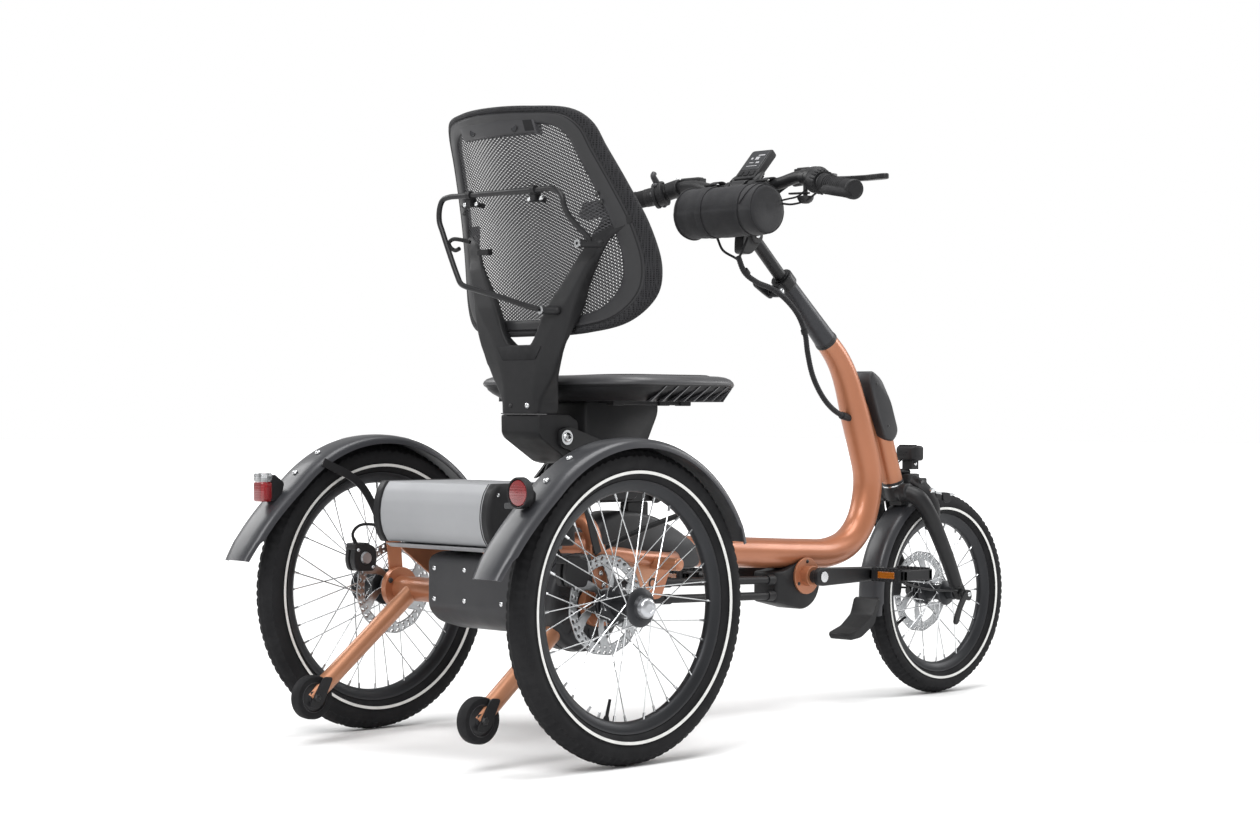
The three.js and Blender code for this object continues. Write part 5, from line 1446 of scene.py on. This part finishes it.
# ---- fork --------------------------------------------------------------------------------
def build_fork():
    body = "front_fork"
    legs = []
    for s in (1, -1):
        line = [(1040, s * 18, 401), (1046, s * 36, 399), (1054, s * 54, 388), (1070, s * 64, 358),
                (1100, s * 65.5, 312), (1132, s * 64, 262), (1160, s * 60.5, 217)]
        legs.append(pipe(line, lambda t: 15.5 - 3.6 * t, 70, 28, stretch=1.12))
    crown = [rod(on_head(-30), on_head(1.6), 19.5, 40, 21),
             rod(on_head(-16, 0, -36), on_head(-16, 0, 36), 17, 32),
             rod(on_head(-22), on_head(140), 14.6, 28)]
    moulded("fork_crown_and_legs", "black_paint", body, crown + legs, ["fork"], 1.6, 3)
    tips = []
    for s in (1, -1):
        outline = rounded([(1150, 226), (1174, 224), (1187, 205), (1187, 191), (1168, 186), (1156, 205)], 6)
        tips.append(prism(outline, s * 59 - 5, s * 59 + 5))
        tips.append(rod((WHEELBASE, s * 64, FRONT_R), (WHEELBASE, s * 70, FRONT_R), 10.5, 32))
        tips.append(dome((WHEELBASE, s * 70, FRONT_R), 8.0, 4.5, (0, s, 0), 24, 5))
    tips.append(rod((WHEELBASE, -70, FRONT_R), (WHEELBASE, 70, FRONT_R), 6, 24))
    piece("fork_tips", "black_paint", body, tips, bevel=1.2)
    ring = [rod(on_head(-1), on_head(1.8), 21.2, 48)]
    piece("lower_race", "steel", body, ring, bevel=0.4)
    tabs = [prism(rounded([(1056, 330), (1076, 330), (1088, 240), (1072, 240)], 4), 50, 56),
            block((16, 30, 14), (1052, 0, 383))]
    piece("fork_tabs", "black_paint", body, tabs, bevel=1.2)

    c, s = math.cos(HEAD_ANGLE), math.sin(HEAD_ANGLE)
    centre = Vector((1097, 0, 375))
    up = Vector((-c, 0, s))
    fore = Vector((s, 0, c))
    path = []
    for k in range(41):
        a = math.radians(-60 + 300 * k / 40)
        path.append(centre + Vector((0, 1, 0)) * (53 * math.cos(a)) + up * (54 * math.sin(a)))
    lock = [along_path(path, lambda i, t: [(p[0] * 0.82, p[1] * 1.22) for p in
                       circle(12.0 - 4.0 * max(0.0, abs(t - 0.5) * 2 - 0.86) / 0.14, 22)], up=tuple(fore)),
            block((34, 34, 26), (1080, 0, 425)), block((26, 74, 20), (1084, 0, 420))]
    moulded("wheel_lock", "black_plastic", body, lock, ["ring_lock"], 1.7, 4)
    piece("lock_keyhole", "screen", body, [rod((1078, -20, 424), (1078, -40, 421), 4.4, 24)])
    piece("lock_key", "steel", body, [
        prism(rounded([(1098, 404), (1148, 400), (1162, 396), (1146, 394), (1098, 397)], 1), -58.6, -57.2),
        rod((1092, -40, 405), (1092, -56, 402), 8, 24)], bevel=0.3)
    piece("lock_key_head", "black_plastic", body, [
        prism(rounded([(1116, 402), (1140, 400), (1142, 384), (1132, 380), (1118, 386)], 5), -61, -55),
        prism(rounded([(1096, 400), (1114, 398), (1114, 387), (1098, 390)], 4), -60, -54)], bevel=1.4)
    links = [rod((1085, 10, 463), (1086, 6, 440), 5.2, 20), rod((1085, 0, 441), on_head(20, 20), 5.0, 20)]
    piece("headlight_stem", "black_paint", body, links, bevel=0.6)

    rings = []
    for x, half, low, high in ((1070, 17, 468, 488), (1072, 20.5, 465, 491), (1078, 24, 463, 493),
                               (1098, 25, 463, 493), (1101, 24, 464, 492)):
        outline = rounded([(-half, low), (half, low), (half, high - 2), (half * 0.72, high), (-half * 0.72, high),
                           (-half, high - 2)], 6)
        rings.append([Vector((x, a, b)) for a, b in outline])
    piece("headlight_shell", "black_plastic", body, [loft(rings), block((22, 24, 18), (1090, 0, 455))],
          ["headlight"], bevel=0.5)
    lens_outline = rounded([(-21.5, 466.5), (21.5, 466.5), (21.5, 488), (16, 490), (-16, 490), (-21.5, 488)], 5)
    rings = [[Vector((x, a * k, 478 + (b - 478) * k)) for a, b in lens_outline]
             for x, k in ((1100, 1.0), (1102.2, 0.98), (1103.2, 0.9))]
    piece("headlight_lens", "clear", body, [loft(rings)])
    fins = [block((16, 1.6, 2.4), (1082, y, 493.4)) for y in range(-15, 16, 6)]
    fins += [block((1.2, 22, 2), (1069.6, 4, 480)), block((1.2, 16, 2), (1069.6, 6, 474))]
    piece("headlight_fins", "black_plastic", body, fins)
    piece("headlight_screws", "steel", body, [
        dome((1090, s * 12.4, 457), 4.2, 2.6, (0, s, 0), 20, 4) for s in (1, -1)])
    piece("lamp_wire", "rubber", body, [
        pipe([(1074, 8, 466), (1062, 16, 452), (1060, 26, 428), (1054, 44, 404), (1060, 50, 386)], 1.5, 40, 10)])

    turn = [(1176, 203), (1182, 196), (1176, 186), (1164, 190), (1150, 170), (1140, 145), (1133, 141), (1126, 146),
            (1130, 160), (1146, 188), (1162, 204)]
    piece("axle_cam_lever", "black_paint", "axle_lever", [
        prism(rounded(turn, 5), -84, -78), rod((WHEELBASE, -72.6, FRONT_R), (WHEELBASE, -83, FRONT_R), 9.2, 32)],
        ["front_axle_lever"], bevel=1.8)
    piece("axle_lever_bolt", "steel", "axle_lever", [
        dome((WHEELBASE, -83.6, FRONT_R), 4.6, 2.6, (0, -1, 0), 20, 4)])


# ---- steering column and stem --------------------------------------------------------------
def build_column():
    body = "column"
    piece("mast_tube", "anthracite", body, [
        pipe([on_mast(0.6), on_mast(30), on_mast(70), on_mast(110), on_mast(150)],
             lambda t: 21.2 - 4.0 * (t ** 0.9), 30, 44)], ["steering_column"])
    piece("mast_foot", "black_paint", body, [
        rod(on_mast(-1), on_mast(3), 21.6, 44), rod(on_mast(-40), on_mast(0), 14.8, 28)])
    collar = [rod(on_mast(148), on_mast(170), 21.5, 44), block((20, 22, 22), on_mast(159, -26)),
              rod(on_mast(144), on_mast(150), 18.5, 44)]
    moulded("mast_clamp", "black_paint", body, collar, (), 1.2, 3)
    piece("mast_clamp_lip", "black_plastic", body, [rod(on_mast(170), on_mast(173), 15.5, 40)], bevel=0.5)
    bolt = on_mast(159, -28)
    piece("mast_clamp_bolts", "steel", body, [
        dome((bolt[0], -12, bolt[2]), 5.4, 3.4, (0, -1, 0), 24, 5),
        rod((bolt[0], -11, bolt[2]), (bolt[0], -12, bolt[2]), 7.0, 28),
        dome(on_mast(159, 21.5), 3.2, 2.0, (math.sin(MAST_ANGLE), 0, math.cos(MAST_ANGLE)), 16, 3)])

    def flat(points):
        return [(on_mast(a, b)[0], on_mast(a, b)[2]) for a, b in points]
    cam = flat(rounded([(150, -20), (148, -36), (166, -42), (198, -50), (206, -46), (208, -38), (188, -34),
                        (170, -20)], 6))
    piece("clamp_cam", "black_paint", "column_lever", [
        prism(cam, 14.6, 21), rod((bolt[0], 12.4, bolt[2]), (bolt[0], 21.4, bolt[2]), 9.5, 32)],
        ["clamp_lever"], bevel=2.0)
    piece("clamp_cam_pin", "steel", "column_lever", [dome((bolt[0], 21.4, bolt[2]), 4.6, 2.4, (0, 1, 0), 20, 4)])

    top = on_mast(279)
    neck = [rod(on_mast(40), on_mast(279), 12, 36), rod((top[0], -15, top[2]), (top[0], 15, top[2]), 15.5, 40),
            prism(rounded([(590, 848), (612, 846), (634, 862), (630, 882), (592, 884)], 8), -11, 11)]
    moulded("stem_tube", "black_paint", "stem", neck, ["stem_post"], 1.3, 3)
    piece("stem_bolt", "steel", "stem", [
        dome((top[0], s * 15.4, top[2]), 6, 3.4, (0, s, 0), 24, 4) for s in (1, -1)])


# ---- handlebar -------------------------------------------------------------------------------
BAR = [(600, 0, 965), (602, 50, 966), (606, 90, 972), (608, 128, 980), (602, 168, 978), (586, 202, 966),
       (556, 262, 953), (524, 330, 940)]


def bar_at(y):
    reach = min(abs(y), 330)
    for (x0, y0, z0), (x1, y1, z1) in zip(BAR, BAR[1:]):
        if reach <= y1:
            t = (reach - y0) / (y1 - y0)
            return Vector((x0 + (x1 - x0) * t, y, z0 + (z1 - z0) * t))
    return Vector((BAR[-1][0], y, BAR[-1][2]))


def along_bar(low, high, sign, steps):
    return [bar_at(sign * (low + (high - low) * k / steps)) for k in range(steps + 1)]


def sleeve(low, high, sign, radius, steps=12, sides=40, stretch=1.0):
    size = radius if callable(radius) else (lambda t: radius)
    return along_path(along_bar(low, high, sign, steps), lambda i, t: circle(size(t), sides, stretch))


def build_bar():
    body = "bar"
    full = [Vector((x, -y, z)) for x, y, z in reversed(BAR)] + [Vector(p) for p in BAR[1:]]
    piece("bar_tube", "black_paint", body, [pipe(full, 11.1, 160, 32)], ["handlebar"])
    head = [rod((600, -17, 965), (600, 17, 965), 17.5, 44),
            prism(rounded([(613, 872), (640, 872), (640, 900), (618, 966), (588, 966)], 8), -14, 14)]
    moulded("bar_clamp", "black_paint", body, head, (), 1.3, 3)
    piece("bar_clamp_bolts", "steel", body, [
        dome((613, y, 975), 3.2, 2, (0.7, 0, 0.7), 16, 3) for y in (-11, 11)])
    for name, s in (("left", 1), ("right", -1)):
        grip = [sleeve(224, 332, s, lambda t: 16.6 - 1.6 * math.sin(math.pi * t) + 1.2 * t, 40, 44)]
        tip, before = bar_at(s * 331), bar_at(s * 320)
        out = (tip - before).normalized()
        wing = rounded([(566, 242), (532, 252), (505, 272), (490, 298), (490, 321), (506, 335), (528, 333),
                        (548, 290)], 12)
        rings = []
        for drop, size in ((-15.5, 0.86), (-14, 0.95), (-10.5, 1.0), (-6, 0.97), (-1.5, 0.86)):
            ring = []
            for a, b in wing:
                x, y = 527 + (a - 527) * size, 290 + (b - 290) * size
                ring.append(Vector((x, s * y, bar_at(y).z + drop)))
            rings.append(ring)
        moulded(f"grip_rubber_{name}", "rubber", body, grip + [loft(rings)], [f"grip_{name}"], 1.3, 5)
        ribs = [sleeve(240 + 7 * k, 242.6 + 7 * k, s, 16.9 - 0.9 * math.sin(math.pi * k / 9), 1, 40)
                for k in range(10)]
        piece(f"grip_ribs_{name}", "rubber", body, ribs, bevel=0.5)
        end = [spin([(0.01, -2), (16.6, -2), (17.6, -0.5), (17.6, 4), (16.4, 6.2), (13.5, 6.8), (12.5, 6.0),
                     (0.01, 6.0)],
                    tip, 48, "Z", Vector((0, 0, 1)).rotation_difference(out).to_matrix())]
        piece(f"grip_end_{name}", "black_plastic", body, end)
        piece(f"grip_collar_{name}", "black_plastic", body, [sleeve(219, 224.5, s, 17.2, 2)], bevel=0.8)

        mount = [sleeve(162, 186, s, 16.8, 6),
                 prism(rounded([(594, s * 164), (634, s * 170), (640, s * 198), (620, s * 200),
                                (598, s * 186)], 6),
                       962, 984, "XY"),
                 pipe([(616, s * 178, 975), (624, s * 150, 977), (626, s * 128, 976), (626, s * 104, 974)],
                      lambda t: 11.5 - 2.5 * t, 24, 26)]
        moulded(f"brake_body_{name}", "black_paint", body, mount, [f"brake_mount_{name}"], 1.4, 3)
        cap = [block((19, 56, 15), (619, s * 146, 988)), block((15, 46, 3), (619, s * 146, 996))]
        piece(f"brake_reservoir_{name}", "black_plastic", body, cap, bevel=2.0)
        knobs = [dome((600, s * 166, 995), 3.4, 2.6, (0, 0, 1), 16, 3),
                 dome((596, s * 182, 960), 3.4, 2.6, (-1, 0, -0.4), 16, 3)]
        piece(f"brake_screws_{name}", "steel", body, knobs)
        lever = rounded([(618, s * 181), (628, s * 178), (637, s * 192), (646, s * 216), (655, s * 256),
                         (655, s * 296), (648, s * 309), (638, s * 308), (636, s * 296), (641, s * 256),
                         (634, s * 224), (621, s * 200)], 7)
        piece(f"brake_blade_{name}", "black_paint", f"lever_{name}", [
            prism(lever, 968, 978, "XY"), rod((626, s * 186, 967), (626, s * 186, 979.6), 6.5, 28)],
            [f"brake_lever_{name}"], bevel=2.4)
        piece(f"brake_blade_pin_{name}", "steel", f"lever_{name}", [
            dome((626, s * 186, 979.4), 3.6, 1.8, (0, 0, 1), 16, 3)])
    drum = [sleeve(190, 216, -1, lambda t: 25.0 - 4.6 * t ** 0.6, 16, 64)]
    piece("shift_drum", "black_plastic", "shifter", drum, ["twist_shifter"], bevel=1.2)
    ridges = []
    for k in range(20):
        a = 2 * math.pi * k / 20
        path = along_bar(200, 215, -1, 4)
        tangent = (path[-1] - path[0]).normalized()
        side = tangent.cross(Vector((0, 0, 1))).normalized()
        top = side.cross(tangent)
        off = side * (21.0 * math.cos(a)) + top * (21.0 * math.sin(a))
        ridges.append(rod(path[0] + off, path[-1] + off, 1.5, 8))
    piece("shift_ridges", "rubber", "shifter", ridges)
    pod = [sleeve(190, 195, 1, 24.0, 4, 48), sleeve(195, 203, 1, 21.5, 4, 48), sleeve(203, 208, 1, 24.5, 4, 48),
           sleeve(208, 219, 1, 17.5, 4, 48)]
    piece("control_pod", "black_plastic", body, pod, bevel=1.2)
    buds = [dome(bar_at(199) + Vector((22 * math.cos(a), 0, 22 * math.sin(a))), 5.4, 4.5,
                 (math.cos(a), 0, math.sin(a)), 20, 4)
            for a in (math.radians(d) for d in (35, 80, 130, 180, 230, 300))]
    buds.append(pipe([(590, 204, 980), (582, 207, 994), (578, 209, 1003), (582, 210, 1008)],
                     lambda t: 7.0 - 2.0 * t, 24, 20))
    piece("control_buttons", "grey_plastic", body, buds, bevel=0.5)


def build_display():
    body = "bar"
    frame_shape = rounded([(603, 986), (657, 1043), (668, 1032), (614, 976)], 4)
    levels = ((-25, 0.93), (-24, 0.975), (-21, 1.0), (21, 1.0), (24, 0.975), (25, 0.93))
    shell = swelled(frame_shape, (635, 1009), levels)
    piece("display_shell", "black_plastic", body, [shell], ["display"])
    slope = Vector((54, 0, 57)).normalized()
    out = Vector((-57, 0, 54)).normalized()
    foot = Vector((603, 0, 986))

    def face(low, high, half, lift):
        ring = []
        for e, y in ((low, -half), (high, -half), (high, half), (low, half)):
            ring.append(foot + slope * e + Vector((0, y, 0)) + out * lift)
        return ring
    piece("display_screen", "screen", body, [loft([face(24, 75, 21, -0.6), face(24, 75, 21, 0.7)])], bevel=0.5)
    keys = [loft([[v + Vector((0, y, 0)) for v in face(7, 19, 5.2, -0.5)],
                  [v + Vector((0, y, 0)) for v in face(7.5, 18.5, 4.8, 1.6)]]) for y in (-14, 0, 14)]
    piece("display_keys", "rubber", body, keys, bevel=0.5)
    marks = []
    for e, y, w, h in ((62, -8, 16, 3.0), (54, -2, 9, 8.0), (54, 11, 5, 5.0), (42, -9, 8, 4.0), (42, 6, 10, 2.0),
                       (33, 0, 26, 1.4)):
        a = foot + slope * e + Vector((0, y, 0)) + out * 0.8
        ring = [a + Vector((0, -w / 2, 0)) - slope * h / 2, a + Vector((0, w / 2, 0)) - slope * h / 2,
                a + Vector((0, w / 2, 0)) + slope * h / 2, a + Vector((0, -w / 2, 0)) + slope * h / 2]
        marks.append(loft([ring, [v + out * 0.25 for v in ring]]))
    piece("display_marks", "label", body, marks)
    mounts = [sleeve(22, 34, s, 15.5, 3) for s in (1, -1)]
    mounts += [pipe([(602, s * 28, 978), (612, s * 28, 986), (630, s * 22, 996)], 5.5, 12, 16) for s in (1, -1)]
    piece("display_arms", "black_plastic", body, mounts, bevel=0.8)


# ---- handlebar bag -----------------------------------------------------------------------------
BAG = (549, 921)
BAG_RADIUS = 46.0
bag_low, bag_high = span("handlebar_bag")
BAG_ENDS = (bag_low.y / MM, bag_high.y / MM)
BAG_STRAPS = (57, -71)


def bag_ring(y, size, sag=1.0):
    ring = []
    for k in range(96):
        a = 2 * math.pi * k / 96
        fold = 0.5 * math.sin(3 * a + y * 0.045) + 0.35 * math.sin(5 * a - y * 0.08 + 1.3)
        r = (BAG_RADIUS + fold * sag) * size
        x, z = r * math.cos(a), r * math.sin(a)
        if z < 0:
            x *= 1 + 0.03 * sag
            z *= 1.0 + 0.012 * sag
        for strap in (20, *BAG_STRAPS):
            pinch = math.exp(-((y - strap) / 11) ** 2)
            x *= 1 - 0.02 * pinch
            z *= 1 - 0.02 * pinch
        ring.append(Vector((BAG[0] + x, y, BAG[1] + z)))
    return ring


def bag_band(middle, half):
    """A strap sewn flat round the bag."""
    rings = []
    for lift, y in ((1.6, -half), (1.9, -half * 0.5), (1.9, half * 0.5), (1.6, half), (-0.8, half),
                    (-0.8, -half)):
        ring = []
        for p in bag_ring(middle, 1.0):
            away = Vector((p.x - BAG[0], 0, p.z - BAG[1])).normalized()
            ring.append(p + away * lift + Vector((0, y, 0)))
        rings.append(ring)
    return loft(rings, closed=True)


def build_bag():
    body = "bar"
    right, left = BAG_ENDS
    seams = {"left": left - 5, "right": right + 33}
    count = 60
    rings = [bag_ring(seams["right"] + (seams["left"] - seams["right"]) * k / count, 1.0)
             for k in range(count + 1)]
    bag = piece("bag_body", "bag", body, [loft(rings)], ["handlebar_bag"], angle=80)
    for name, end, s in (("left", left, 1), ("right", right, -1)):
        reach = abs(end - seams[name])
        caps = []
        for share, size in ((-0.03, 0.995), (0.06, 1.006), (0.3, 1.005), (0.55, 0.998), (0.75, 0.985), (0.9, 0.955),
                            (1.0, 0.90), (1.04, 0.80), (1.05, 0.60), (1.03, 0.30), (1.02, 0.02)):
            caps.append(bag_ring(seams[name] + s * reach * share, size, 0.6))
        piece(f"bag_end_{name}", "bag_smooth", body, [loft(caps)], angle=80)
        piece(f"bag_piping_{name}", "webbing", body, [
            pipe(bag_ring(seams[name], 1.010), 1.7, 120, 10, closed=True)])
        rim = bag_ring(end - s * reach * 0.06, 0.945, 0.6)
        piece(f"bag_end_seam_{name}", "webbing", body, [pipe(rim, 1.2, 120, 8, closed=True)])
    flap = []
    for k in range(33):
        a = math.radians(20 + 150 * k / 32)
        y = seams["right"] - 4 - 19 * math.sin(math.pi * k / 32) ** 0.7
        r = BAG_RADIUS * 1.012
        flap.append((BAG[0] + r * math.cos(a), y, BAG[1] + r * math.sin(a)))
    piece("bag_flap_seam", "webbing", body, [pipe(flap, 1.2, 80, 8)])
    straps, buckles = [bag_band(20, 7)], []
    for y in BAG_STRAPS:
        hang = [(560, y, 964), (574, y, 973), (588, y, 980), (602, y, 982), (614, y, 976), (617, y, 964),
                (607, y, 952), (588, y, 948)]
        straps.append(loft([[Vector((p.x, p.y + w, p.z)) + n for w, n in ((-8, q), (8, q), (8, -q), (-8, -q))]
                            for p, q in strap_frames(smooth_path(hang, 40), 1.2)]))
        buckles.append(block((10, 22, 4), (574, y, 975)))
    piece("bag_straps", "webbing", body, straps, angle=50)
    piece("bag_buckles", "black_plastic", body, buckles, bevel=1.2)
    zipper = [bag_ring(seams["right"] + 4 + (seams["left"] - seams["right"] - 8) * k / 40, 1.004)[20]
              for k in range(41)]
    piece("bag_zip", "webbing", body, [pipe(zipper, 1.5, 60, 8)])
    pull = zipper[-4] + Vector((2, 0, 2))
    piece("bag_zip_pull", "black_plastic", body, [rod(pull, pull + Vector((-8, 8, -10)), 1.6, 12)])


def strap_frames(path, thickness):
    """Points of a strap in a plane of constant Y, with half its thickness as a vector."""
    frames = []
    for i, p in enumerate(path):
        ahead = path[min(i + 1, len(path) - 1)] - path[max(i - 1, 0)]
        frames.append((p, Vector((ahead.z, 0, -ahead.x)).normalized() * thickness))
    return frames


# ---- bell and cables -----------------------------------------------------------------------------
def build_bell():
    body = "bar"
    x, y = 603, -152
    piece("bell_dome", "black_paint", body, [
        spin([(0.01, 930.5), (6, 931), (11.5, 934), (14.5, 939), (15.4, 944), (13.8, 944), (12.6, 938.5), (9.5, 935),
              (0.01, 933.6)], (x, y, 0), 48, "Z"), rod((x, y, 944), (x, y, 966), 4.2, 20),
        sleeve(145, 159, -1, 14.2, 4)], ["bell"])
    arm = prism(rounded([(x - 8, y - 6), (x + 8, y - 6), (x + 10, y + 6), (x - 2, y + 34), (x - 12, y + 32),
                         (x - 6, y + 6)], 4),
                948.4, 951.6, "XY")
    piece("bell_striker_arm", "black_plastic", "bell_striker", [arm], ["bell_lever"], bevel=0.8)


LOOM_RADIUS = 5.2
LOOM = [(562, -26, 840), (578, -27, 812), (610, -28, 795), (652, -29, 784), (692, -29, 764), (726, -28, 736),
        (746, -26, 704), (757, -23, 668), (776, -20, 624), (813, -16, 582), (860, -10, 556), (915, -4, 545)]


def build_cables():
    path = smooth_path(LOOM, 200)
    braid = along_path(path, lambda i, t: circle(LOOM_RADIUS + (0.15 if i % 2 else -0.35), 16))
    loom = piece("cable_sleeve", "sleeve", None, [braid], ["cable_loom"], angle=60)
    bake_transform(loom)
    piece("cable_entry", "black_plastic", "frame", [rod((872, -8, 552), (900, -5, 547), 7.4, 24)], bevel=1.0)
    cables = []
    shared = [(566, -25, 832), (590, -27, 806), (614, -28, 794)]
    for start in ((556, 20, 874), (560, -52, 873)):
        cables.append(pipe([start, (556, start[1] * 0.7 - 8, 852)] + shared, 2.3, 50, 12))
    pair = piece("bag_cables", "rubber", None, cables)
    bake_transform(pair)
    for name, s in (("left", 1), ("right", -1)):
        hose = [(626, s * 106, 974), (626, s * 88, 968), (612, s * 66, 948), (600, s * 50, 930),
                (596, s * 34, 912)]
        piece(f"bar_hose_{name}", "rubber", "bar", [pipe(hose, 2.4, 50, 12)])
    wires = [pipe([(602, -158, 958), (594, -142, 944), (588, -124, 940), (586, -110, 938)], 1.7, 30, 10),
             pipe([(604, -190, 956), (596, -160, 936), (590, -132, 930), (586, -112, 932)], 1.9, 30, 10),
             pipe([(626, -30, 990), (618, -20, 978), (606, -16, 972)], 1.6, 20, 10)]
    piece("bar_wires", "rubber", "bar", wires)
    ties = [rod((578, -27, 816), (586, -27.4, 808), 6.6, 20), rod((742, -26.5, 712), (746, -26, 704), 6.8, 20)]
    piece("loom_tie", "black_plastic", "column", ties[1:], bevel=0.6)
    piece("loom_end", "black_plastic", "bar", ties[:1], bevel=0.6)


build_fork()
build_column()
build_bar()
build_display()
build_bag()
build_bell()
build_cables()
